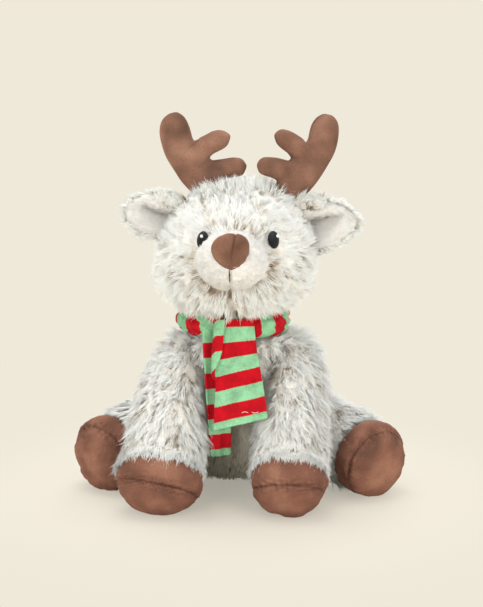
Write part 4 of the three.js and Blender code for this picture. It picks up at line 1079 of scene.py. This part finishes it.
sole_set = {"front": 0.009, "rear": 0.013}
sole_roll = {"right": math.radians(15.5), "left": math.radians(3)}
seam_depth, seam_width = 0.0009, 0.0018
hem_tuck, hem_tuck_share = 0.0095, 0.34
hem_reach, hem_lock_length = 0.12, 0.7
hem_root_depth, hem_root_rise = 0.001, 0.0026
onto_hoof_reach = 0.035
pucker_depth, pucker_width, pucker_size = 0.0005, 0.005, 0.0042
inner_line, inner_line_width = 0.011, 0.0055
leg_locks = {"front": 1300, "rear": 620}
hem_locks = {"front": 900, "rear": 420}


def line_form(points, half_through, half_across, flat_way=None):
    """Oval rings square to a line of points: across is level, or the flat way, and through is square to
    both. The line's way at a point runs from the one before it to the one after it."""
    ends = points[1:2] - points[:1], points[-1:] - points[-2:-1]
    along = unit(np.concatenate([ends[0], points[2:] - points[:-2], ends[1]]))
    across = np.cross(along, up_way) if flat_way is None else flat_way + 0 * along
    across = unit(across - along * (across * along).sum(-1, keepdims=True))
    return ring_form(points, across, np.cross(along, across), half_across, half_through)


def beside(points, form, clearance):
    """Points inside a limb's form are moved straight out from its line to its skin: the nearest of 60 places
    along the line gives the middle, and its half width plus the clearance is the least distance."""
    row = between(form, np.linspace(0, len(form) - 1, 60))
    off = points[..., None, :] - row[:, :3]
    distance = np.linalg.norm(off, axis=-1)
    nearest = (distance - row[:, 9]).argmin(-1)
    least = row[nearest, 9] + clearance
    found = np.take_along_axis(distance, nearest[..., None], -1)
    push = np.maximum(1, least[..., None] / np.maximum(found, 1e-6))
    return row[nearest, :3] + (points - row[nearest, :3]) * push


def limb(end, side):
    """The limb's form, its hem as a place along it, and its sole's plane as a way and a distance."""
    out, ahead, up = limb_seat[end]
    root = seat + (hand[side] * body_half_width * out, -body_half_depth * ahead, shoulder_height * up)
    shares = np.array(limb_shares[end])
    middle = root + (hand[side] * limb_splay[end][side], -limb_reach[end][side], 0)
    middle[2] = limb_radius[end] * shares[-1, 3] * limb_settle[end] - 0.0005
    toe = unit(np.array(limb_toe[end]) * (hand[side], -1, -1))
    tip = np.array(hoof_tip_shares)
    points = np.vstack([root + (middle - root) * shares[:, :3], middle + toe * limb_tip[end] * tip[:, :1]])
    wide = limb_radius[end] * np.append(shares[:, 3], tip[:, 1])
    grow = np.clip(np.arange(len(wide)) / (len(shares) - 1), 0, 1)
    form = line_form(points, wide, wide * (1 + (limb_breadth[end][side] - 1) * grow))
    hem = limb_hem[end] * (len(shares) - 1) / (len(form) - 1)
    across = between(form, np.array([math.floor(limb_hem[end] * (len(shares) - 1))]))[0, 3:6]
    way = Matrix.Rotation(limb_tilt[end], 3, Vector(across)) @ Vector(toe)
    if end == "front":
        way = Matrix.Rotation(sole_roll[side], 3, "Y") @ way
    way = np.array(way)
    return form, hem, way, way @ (middle + toe * (limb_tip[end] - sole_set[end]))


def seam_place(form, hem, way, distance, angle):
    """For each angle, the place along the form where its skin crosses the sole's plane, by halving."""
    low, high = np.full(angle.shape, hem), np.full(angle.shape, 0.998)
    for _ in range(24):
        middle = (low + high) / 2
        before = skin(form, angle, middle) @ way < distance
        low, high = np.where(before, middle, low), np.where(before, high, middle)
    return np.maximum((low + high) / 2, hem + 0.02)


def hoof_skin(form, start, stop, way, distance, angle, seed, neighbour, under):
    """A hoof's or sole's rings from start to stop. The seam draws them in as a bell of the distance from its
    plane, and puckers them with a ripple that fades away from the seam. Under is 1 where the first third of
    the rings goes inwards, under the pile, by the square of the way back to the first."""
    share = np.linspace(0, 1, 56)[:, None]
    along = start + (stop - start) * share
    points, out = skin(form, angle, along), facing(form, angle, along)
    tucked = hem_tuck * np.clip(1 - share / hem_tuck_share, 0, 1) ** 2 * under
    off = points @ way - distance
    groove = seam_depth * bell(off, seam_width)
    pucker = pucker_depth * ripple(points, pucker_size, seed + 5) * bell(off, pucker_width)
    wrinkle = 0.0007 * ripple(points, 0.024, seed) + 0.0003 * ripple(points, 0.009, seed + 1)
    inward = unit(between(form, along * (len(form) - 1))[..., :3] - points)
    points = points + out * (pucker + wrinkle - groove - 0.0004)[..., None] + inward * tucked[..., None]
    if neighbour is not None:
        points = beside(points, neighbour, 0.0003)
    return above_floor(points)


def seam_shade(points, way, distance, seed):
    """The painted shade on the velour near the sole's seam: a dark line in its groove, and a broken band of
    shade in the gathers round it.
    """
    off = points @ way - distance
    gathers = np.clip(0.55 - 0.6 * ripple(points, pucker_size, seed + 5), 0, 1)
    return 0.5 * bell(off, 0.0009) + 0.65 * gathers * bell(off, pucker_width)


def leg_parting(points, middle_x, share, end, side, seed):
    """How much the leg's pile parts: the tops of a ripple, and on a front leg a line down its inner side."""
    shown = np.clip(0.7 * ripple(points, 0.02, seed + 2) - 0.2, 0.02, 0.6)
    off = points[..., 0] - middle_x + hand[side] * inner_line + 0.003 * ripple(points, 0.03, seed + 4)
    down = climb(share, 0.8, -0.3) * (points[..., 1] < seat[1] - 0.05 * (1 - share)) * (end == "front")
    return shown + 0.6 * bell(off, inner_line_width) * down


def free(points, neighbour):
    """Whether the leg's pile has room: outside the body, outside the other leg and above the floor."""
    room = np.linalg.norm(outside(points, body_form, pile_clearance) - points, axis=-1) < 1e-6
    if neighbour is not None:
        room &= np.linalg.norm(beside(points, neighbour, pile_clearance) - points, axis=-1) < 1e-6
    return room & (points[:, 2] > floor_gap)


limbs = {}
for end in ("front", "rear"):
    for side in ("right", "left"):
        body = f"{end}_leg_{side}"
        form, hem, way, distance = limb(end, side)
        limbs[end, side] = form
        neighbour = limbs["front", side] if end == "rear" else None
        seed = 70 + 4 * (end == "rear") + 2 * (side == "left")
        last = len(form) - 1
        middle_x = between(form, np.linspace(0, hem, 60)[:, None] * last)[..., 0]
        leg = lumpy(skin_grid(thinner(form, ground_depth), 60, 80, 0, 0, hem), 0.001, seed)
        leg = outside(leg, body_form, cloth_clearance)
        if neighbour is not None:
            leg = beside(leg, neighbour, cloth_clearance)
        ground = 0.3 * leg_parting(leg, middle_x, np.linspace(0, 1, 60)[:, None], end, side, seed)
        cover = mark(closed_skin(f"{body}_fabric", above_floor(leg)), ground)
        stuffed(0.85, cover, long_pile_backing, body, "long_pile", body)
        crossing = seam_place(form, hem, way, distance, turns(144))
        upper = hoof_skin(form, hem - 0.015, crossing, way, distance, turns(144), seed, neighbour, 1)
        sole = hoof_skin(form, crossing, 1.0, way, distance, turns(144), seed, neighbour, 0) + way * 0.0003
        for part, rings in (("hoof", upper), ("sole", sole)):
            # Painted shade along the sole's seam and in its gathers.
            shade = seam_shade(rings, way, distance, seed)
            made = mark(closed_skin(f"{end}_{part}_velour_{side}", rings), shade, "crease")
            stuffed(0.9, made, velour, body, "brown_velour", f"{end}_{part}_{side}")
        wadding(
            f"{body}_wadding", f"{end}_leg_stuffing_{side}", body, form, 0.12, 0.8, seed,
            within=lambda points: above_floor(outside(points, body_form, -0.0035)),
        )

        rng = np.random.default_rng(seed)
        count, fringe = leg_locks[end], hem_locks[end]
        places, along = scatter(
            form, count, rng, lambda points, angle, along: free(points, neighbour) & (along < hem + 0.004)
        )
        edge = rng.uniform(0, 2 * np.pi, fringe)
        rise = np.clip(1.5 * facing(form, edge, hem_top[end])[:, 2] + 0.2, 0, 1)
        edge_along = hem + rise * (hem_top[end] - hem) + rng.uniform(-hem_reach, 0.004, fringe)
        places, along = np.hstack([[places, along], [edge, edge_along]])
        hem_lock = np.arange(count + fringe) >= count
        surface = skin(form, places, along)
        row = between(form, along * last)
        radial = (hem_lock | (along > hem - hem_reach))[:, None]
        normals = np.where(radial, unit(surface - row[:, :3]), facing(form, places, along))
        depth = np.append(np.full(count, pile_depth), hem_root_depth - hem_root_rise * rise)
        roots = surface - normals * depth[:, None]
        onward = unit(between(form, np.clip(along * last + 0.2, 0, last))[:, :3] - row[:, :3] + 1e-9)
        onward = np.where(hem_lock[:, None], unit(form[-1, :3] - form[-3, :3]), onward)
        share = np.clip(along / hem, 0, 1)
        aside = np.sign(roots[:, :1] - row[:, :1] + hand[side] * 0.012) * across_way
        comb = onward * (0.5 + 0.8 * share)[:, None] + aside * (0.6 - 0.45 * share)[:, None] - 0.3 * up_way
        if end == "rear":
            comb = onward - 0.35 * up_way
        onto_hoof = along > hem - onto_hoof_reach
        comb = np.where(onto_hoof[:, None], onward + 0.3 * comb, comb)
        length = pile_length * np.where(hem_lock, hem_lock_length, 1)
        mesh = pile(
            f"{body}_pile", roots, normals, comb, rng, length, lock_radius, per_lock=9,
            lean=(np.where(hem_lock, 1.15, 0.62 + 0.18 * share), np.where(hem_lock, 1.45, 1.36)),
            gather=lock_gather, keep_out=above_floor,
            parted=leg_parting(roots, row[:, 0], share, end, side, seed) * ~onto_hoof,
            softness=np.where(hem_lock, 0.85, 0.6 + 0.25 * np.clip(4 * share, 0, 1)),
        )
        piece(mesh, long_pile, body, "long_pile")

# Tail
# A small tuft of the long pile, low on the back.
tail_length, tail_radius, tail_sunk = 0.034, 0.011, 0.4
tail_locks, tail_pile_length, tail_pile_depth = 80, 0.012, 0.003
tail_way = unit(np.array([0, 0.62, 0.78]))
tail_shares = np.array([[0.0, 0.0], [0.0, 0.7], [0.3, 1.0], [0.6, 0.92], [0.85, 0.6], [1.0, 0.25], [1.0, 0.0]])
tail_start = joint_at["tail_wag"] - tail_way * tail_radius * tail_sunk
tail_line = tail_start + (tail_length * tail_shares[:, :1] + np.linspace(0, 1e-4, 7)[:, None]) * tail_way
tail_form = line_form(tail_line, tail_radius * tail_shares[:, 1], tail_radius * tail_shares[:, 1])
tail_skin = outside(skin_grid(tail_form, 30, 40, tail_pile_depth), body_form, cloth_clearance)
stuffed(0.7, closed_skin("tail_fabric", tail_skin), long_pile_backing, "tail", "long_pile", "tail")
rng = np.random.default_rng(91)
angle, along = scatter(tail_form, tail_locks, rng, lambda points, angle, along: along > 0.25)
normals = facing(tail_form, angle, along)
roots = skin(tail_form, angle, along) - normals * tail_pile_depth
mesh = pile("tail_pile", roots, normals, tail_way + 0 * roots, rng, tail_pile_length, 0.0026)
piece(mesh, long_pile, "tail", "long_pile")

# Antlers
# Each is cut flat from brown velour as a beam with two tines, sewn round its outline and stuffed, so that its
# seam runs round the edge and the cloth creases where a tine leaves the beam.
antler_height, antler_thickness = 0.065, 0.022
beam_half_width, tine_half_width = 0.014, 0.009
antler_raise = {"right": 0.0, "left": 0.008}
antler_lean = {"right": 0.0, "left": math.radians(4)}
antler_twist = {"right": 0.0, "left": math.radians(28)}
antler_branches = (
    (beam_half_width, [
        [0.06, -0.16, 0.95, 0.9], [0.02, -0.02, 1.05, 0.96], [-0.04, 0.1, 1.15, 0.96], [-0.16, 0.24, 1.14, 1.0],
        [-0.29, 0.4, 1.02, 1.0], [-0.38, 0.56, 0.98, 1.0], [-0.41, 0.72, 0.98, 1.0], [-0.41, 0.85, 0.84, 0.88],
        [-0.4, 0.94, 0.52, 0.62], [-0.39, 0.975, 0.2, 0.3],
    ]),
    (tine_half_width, [
        [-0.3, 0.34, 1.2, 0.8], [-0.12, 0.44, 1.15, 0.9], [0.04, 0.55, 1.0, 0.86], [0.16, 0.62, 0.98, 0.8],
        [0.25, 0.655, 0.78, 0.66], [0.31, 0.67, 0.3, 0.34],
    ]),
    (tine_half_width, [
        [-0.16, 0.1, 1.2, 0.8], [0.08, 0.18, 1.15, 0.9], [0.26, 0.235, 1.0, 0.86], [0.39, 0.26, 0.98, 0.8],
        [0.48, 0.27, 0.78, 0.66], [0.53, 0.275, 0.3, 0.34],
    ]),
)
antler_creases = (((-0.1, 0.62), (-0.3, 0.44)), ((0.12, 0.42), (-0.12, 0.27)))
antler_seam_depth, antler_seam_width = 0.0011, 0.0011
fold_depth, fold_width = 0.0008, 0.0014
antler_voxel = 0.0012
antler_velour = velour_material("brown_velour_antler", "#63483A", "#7E5B4A", "#98715D")


def joined(name, meshes, voxel, smoothing):
    """One skin over several closed meshes: their union in voxels of this size, smoothed. Returns its points,
    its normals and its four-cornered faces."""
    scratch = [bpy.data.objects.new(name, mesh) for mesh in meshes]
    for made in scratch:
        bpy.context.scene.collection.objects.link(made)
    whole = scratch[0]
    with bpy.context.temp_override(active_object=whole, object=whole, selected_editable_objects=scratch):
        bpy.ops.object.join()
    remesh = whole.modifiers.new("union", "REMESH")
    remesh.mode = "VOXEL"
    remesh.voxel_size = voxel
    soften = whole.modifiers.new("soften", "SMOOTH")
    soften.factor = 0.5
    soften.iterations = smoothing
    mesh = bpy.data.meshes.new_from_object(whole.evaluated_get(bpy.context.evaluated_depsgraph_get()))
    points, normals = np.zeros((2, len(mesh.vertices) * 3), np.float32)
    mesh.vertices.foreach_get("co", points)
    mesh.vertices.foreach_get("normal", normals)
    faces = np.zeros(len(mesh.loops), np.int32)
    mesh.loops.foreach_get("vertex_index", faces)
    bpy.data.objects.remove(whole)
    bpy.data.meshes.remove(mesh)
    return points.reshape(-1, 3).astype(float), normals.reshape(-1, 3).astype(float), faces.reshape(-1, 4)


for side in ("right", "left"):
    crown = joint_at[f"antler_{side}_bend"]
    inward = Vector((-hand[side], 0, 0))
    inward = np.array(Matrix.Rotation(hand[side] * antler_twist[side], 3, "Z") @ inward)
    rise = np.array(Matrix.Rotation(hand[side] * antler_lean[side], 3, "Y") @ Vector(up_way))
    inward = unit(inward - rise * (inward @ rise))
    face_out = np.cross(inward, rise)
    start = crown + rise * antler_raise[side]
    meshes = []
    for half_width, rows in antler_branches:
        rows = np.array(rows)
        tip = rows[-1] + (rows[-1] - rows[-2]) * (0.4, 0.4, 0, 0)
        rows = np.vstack([rows[0] * (1, 1, 0, 0), rows, tip * (1, 1, 0, 0)])
        line = start + antler_height * (rows[:, :1] * inward + rows[:, 1:2] * rise)
        form = line_form(line, half_width * rows[:, 2], antler_thickness / 2 * rows[:, 3], face_out)
        meshes.append(closed_skin("branch", skin_grid(form, 60, 48, 0, 1 / (len(form) - 1))))
    points, normals, faces = joined("antler", meshes, antler_voxel, 3)
    off = (points - start) @ face_out
    edge = np.clip(1 - 1.6 * np.abs(normals @ face_out), 0, 1)
    seam = antler_seam_depth * bell(off, antler_seam_width) * edge
    wrinkle = 0.0004 * ripple(points, 0.022, 95 + hand[side])
    # Painted shade: a dark line along the seam round the edge, and more in the creases where the tines leave
    # the beam.
    shade = 0.55 * bell(off, 0.0008) * edge
    for first, last in antler_creases:
        first, last = (start + antler_height * (along * inward + up * rise) for along, up in (first, last))
        share = np.clip((points - first) @ (last - first) / ((last - first) @ (last - first)), 0, 1)
        away = points - first - share[:, None] * (last - first)
        away = np.linalg.norm(away - (away @ face_out)[:, None] * face_out, axis=-1)
        fold = bell(away, fold_width) * (1 - share)
        seam, shade = seam + fold_depth * fold, shade + 0.5 * fold
    points = outside(points + normals * (wrinkle - seam)[:, None], head_form, -0.004)
    made = mark(mesh_of(f"antler_velour_{side}", points, faces), shade, "crease")
    stuffed(0.95, made, antler_velour, f"antler_{side}", "brown_velour", f"antler_{side}")

# Scarf loop
# A strip of printed velour, striped red and green, gathered into soft lengthwise folds and wound round the
# neck. It bunches at the deer's right, where the ends come out.
stripe = 0.013
end_strip = 0.006
loop_radius, loop_roll, loop_height = 0.04225, 0.0115, 0.021
loop_base = 0.14
loop_bunch, bunch_sharpness = 0.005, 4
fold_spread = 0.2
fold_depths = (0.0024, 0.002)
gather_depth = 0.0011
loop_aside = -0.0038
loop_stripes = 20
scarf_red, scarf_green = "#BC0619", "#8DC496"
scarf_map = "cloth"
stripe_blur = 0.06
print_patch = 0.009


def scarf_material(name, first):
    """Printed velour: bands of red and green by the cloth's own map, in stripes with a slightly furry edge, a
    green band first where that is set. A fine grain (0.8 mm) and patches of brushed pile (9 mm) vary it."""
    material, tree, shader = cloth_material(name, 0.8, 0.06, "#FFD0D0")
    cloth = add(tree, "UVMap", uv_map=scarf_map)
    place = add(tree, "TexCoord")
    grain = add(tree, "TexNoise", {"Vector": place.outputs["Object"], "Scale": 1 / fine_grain, "Detail": 2})
    brushed = add(tree, "TexNoise", {"Vector": place.outputs["Object"], "Scale": 1 / print_patch, "Detail": 2})
    run = add(tree, "SeparateXYZ", {0: cloth.outputs[0]})
    shift = add(tree, "MapRange", {0: grain.outputs[0], 1: 0.0, 2: 1.0, 3: -stripe_blur, 4: stripe_blur})
    along = add(tree, "Math", {0: run.outputs["X"], 1: shift.outputs[0]})
    wave = add(tree, "Math", {0: along.outputs[0], 1: math.pi}, operation="MULTIPLY")
    wave = add(tree, "Math", {0: wave.outputs[0]}, operation="SINE")
    green = add(tree, "MapRange", {0: wave.outputs[0], 1: stripe_blur, 2: -stripe_blur})
    if first:
        ending = add(tree, "MapRange", {0: along.outputs[0], 1: stripe_blur / 2, 2: -stripe_blur / 2})
        green = add(tree, "Math", {0: green.outputs[0], 1: ending.outputs[0]}, operation="MAXIMUM")
    links = {0: green.outputs[0], 6: linear(scarf_red), 7: linear(scarf_green)}
    colour = add(tree, "Mix", links, data_type="RGBA")
    speckle = add(tree, "Math", {0: grain.outputs[0], 1: brushed.outputs[0]})
    speckle = add(tree, "MapRange", {0: speckle.outputs[0], 1: 0.75, 2: 1.25, 3: 0.68, 4: 1.16})
    colour = add(tree, "VectorMath", {0: colour.outputs[2], 3: speckle.outputs[0]}, operation="SCALE")
    surface_of(tree, shader, colour.outputs[0], grain.outputs[0], velour_bump, 0.6)
    return material


def cloth_mesh(name, points, lengths, closed):
    """A mesh from rings of points, joined end to end if closed, whose map gives each corner the cloth's length
    in stripes and its place round the ring. Lengths by ring and column has one ring more if closed."""
    rows, columns = points.shape[:2]
    row, column = np.mgrid[: rows if closed else rows - 1, :columns]
    after = (column + 1) % columns
    sides = ((row, column), (row, after), (row + 1, after), (row + 1, column))
    length = np.stack([lengths[at] for at in sides], -1)
    share = np.stack([column, column + 1, column + 1, column], -1) / columns
    strip = np.stack([length, share], -1).reshape(-1, 2)
    quads = np.stack([line % rows * columns + place for line, place in sides], -1)
    if closed:
        mesh, maps = mesh_of(name, points.reshape(-1, 3), quads.reshape(-1, 4)), strip
    else:
        mesh = closed_skin(name, points)
        maps = np.zeros((len(mesh.loops), 2))
        maps[: quads.size] = strip
        maps[quads.size : quads.size + 3 * columns, 0] = lengths[0].mean()
        maps[quads.size + 3 * columns :, 0] = lengths[-1].mean()
    mesh.uv_layers.new(name=scarf_map).data.foreach_set("uv", maps.astype(np.float32).ravel())
    return mesh


scarf_velour = scarf_material("printed_velour", False)
around = (np.pi / 2 + turns(300))[:, None]
section = turns(72)
out = np.stack([np.cos(around), np.sin(around), 0 * around], -1)
bunched = loop_bunch / 2 * np.maximum(0, -np.cos(around)) ** bunch_sharpness
first_fold = 1.15 + 0.3 * np.sin(3 * around + 1)
second_fold = 2.05 + 0.25 * np.sin(2 * around + 0.4)
fold = fold_depths[0] * bell(section - first_fold, fold_spread)
fold = fold + fold_depths[1] * bell(section - second_fold, fold_spread)
gather = gather_depth * np.sin(30 * around + 3 * np.cos(section)) * (0.25 + bunched / loop_bunch * 2)
wide = loop_roll / 2 + bunched - fold + gather
tall = loop_height / 2 - 0.4 * fold + 0.0004 * np.sin(17 * around)
loop = head_middle + (loop_aside, 0, loop_base + loop_height / 2) + out * (loop_radius + bunched)[..., None]
loop = loop + up_way * (tall * np.cos(section))[..., None] + out * (wide * np.sin(section))[..., None]
chevron = 0.5 * np.abs(section - first_fold) + 0.35 * np.sin(section * 2)
lengths = 1 + np.linspace(0, loop_stripes, 301)[:, None] + np.vstack([chevron, chevron[:1]])
loop = cloth_mesh("scarf_loop_velour", outside(loop, body_form, -0.004), lengths, True)
stuffed(0.5, loop, scarf_velour, "torso", "scarf_velour", "scarf_loop")

# Scarf ends
# The wide front end lies over the narrow back end. Each is the same velour hung from the loop, with a green
# strip sewn across its foot. The front one's left edge is folded forward at the top.
scarf_thickness = 0.003
end_hem_depth, end_hem_width, end_wave = 0.0006, 0.0012, 0.0011
scarf_ends = {
    "back": {
        "hang": joint_at["scarf_front_lift"] + (-0.019, 0.0048, -0.0105),
        "drift": 0.006, "forward": 0.0175, "drop": 0.106, "width": 0.022, "turn": math.radians(30),
        "fold": 0.0, "slant": 0.0,
        "rows": [[0, 0, 0, 1], [0.1, 0.167, 0.113, 1], [0.4, 0.5, 0.34, 1], [0.7, 0.75, 0.566, 1],
                 [0.9, 0.917, 0.792, 0.92], [1, 1, 1, 0.84]],
    },
    "front": {
        "hang": joint_at["scarf_front_lift"],
        "drift": 0.0055, "forward": 0.0337, "drop": 0.0835, "width": 0.046, "turn": 0.0,
        "fold": 0.012, "slant": 0.17,
        "rows": [[0, 0, 0, 0.66], [0, 0.06, 0.138, 0.7], [0.133, 0.262, 0.365, 0.78],
                 [0.533, 0.53, 0.605, 0.86], [0.8, 0.799, 0.82, 0.94], [1, 1, 1, 1]],
    },
}
hanging_velour = scarf_material("printed_velour_end", True)
for name, end in scarf_ends.items():
    rows = between(np.array(end["rows"], float), np.linspace(0, 5, 120))
    path = end["hang"] + rows[:, :3] * (end["drift"], -end["forward"], -end["drop"])
    along = unit(np.gradient(path, axis=0))
    wide = np.array([math.cos(end["turn"]), math.sin(end["turn"]), 0])
    across = unit(wide - along * (along @ wide)[:, None])
    through = np.cross(along, across)
    half = end["width"] / 2 * rows[:, 3:4] - 0.0016 * np.clip(np.linspace(-24, 1, 120)[:, None], 0, 1) ** 2
    share = np.linspace(0, 1, 120)[:, None]
    folded = end["fold"] * (1 - climb(share, 0.3, 0.25) ** 2) + 1e-6
    loop_turn = -turns(96)
    face = np.clip(1.03 * -np.cos(loop_turn), -1, 1)
    proud = scarf_thickness / 2 * np.clip(3 * np.sin(loop_turn), -1, 1)
    reach = (face + 1) / 2 * (2 * half + folded) - folded
    radius = scarf_thickness * 0.62
    bend = np.clip(-reach / radius, 0, np.pi)
    past = np.maximum(-reach - np.pi * radius, 0)
    aside = np.where(reach > 0, reach, past) - half - radius * np.sin(bend)
    ahead = radius * (1 - np.cos(bend))
    wave = end_wave * np.sin(1.7 * np.pi * aside / half + 2.2 * share + 0.8) * share
    aside, ahead = aside + proud * np.sin(bend), ahead + proud * np.cos(bend) + wave
    slanted = -end["slant"] * aside * np.clip(share * 1.6, 0, 1)
    points = path[:, None] + across[:, None] * aside[..., None] + through[:, None] * ahead[..., None]
    points = points + along[:, None] * slanted[..., None]
    length = np.append(0, np.cumsum(np.linalg.norm(np.diff(path, axis=0), axis=1)))
    rest = (length[-1] - length)[:, None] - end_strip - 0.006 * (bend / np.pi)
    hem = end_hem_depth * bell(rest, end_hem_width)
    points = points - through[:, None] * (hem * np.sign(proud))[..., None]
    mesh = cloth_mesh(f"scarf_{name}_velour", points, rest / stripe, False)
    made = piece(mesh, hanging_velour, f"scarf_{name}", "scarf_velour", f"scarf_end_{name}")
    flat = (float(end["width"] + end["fold"]), float(length[-1]))

# Loose threads
# Two short ends of white sewing thread that cling to the front end's last red band.
loose_thread_radius = 0.0002
loose_thread_length, loose_thread_arch = 0.005, 0.0012
loose_threads = {"upper": (0.004, 0.01, 0.7), "lower": (0.0125, 0.0085, -0.9)}
for name, (aside, above, bend) in loose_threads.items():
    share = np.linspace(0, 1, 20)
    curl = bend * (share - 0.5)
    spot = path[-1] - along[-1] * above + across[-1] * aside + through[-1] * (scarf_thickness / 2 + 0.0008)
    line = (share - 0.5)[:, None] * across[-1] + (curl**2)[:, None] * along[-1] * np.sign(bend)
    line = spot + loose_thread_length * line
    line = line + loose_thread_arch * np.sin(np.pi * share)[:, None] * through[-1]
    mesh = tube(f"loose_thread_{name}", line, np.full(20, loose_thread_radius), 8)
    piece(mesh, white_thread, "scarf_front", "white_thread")

bpy.context.view_layer.update()
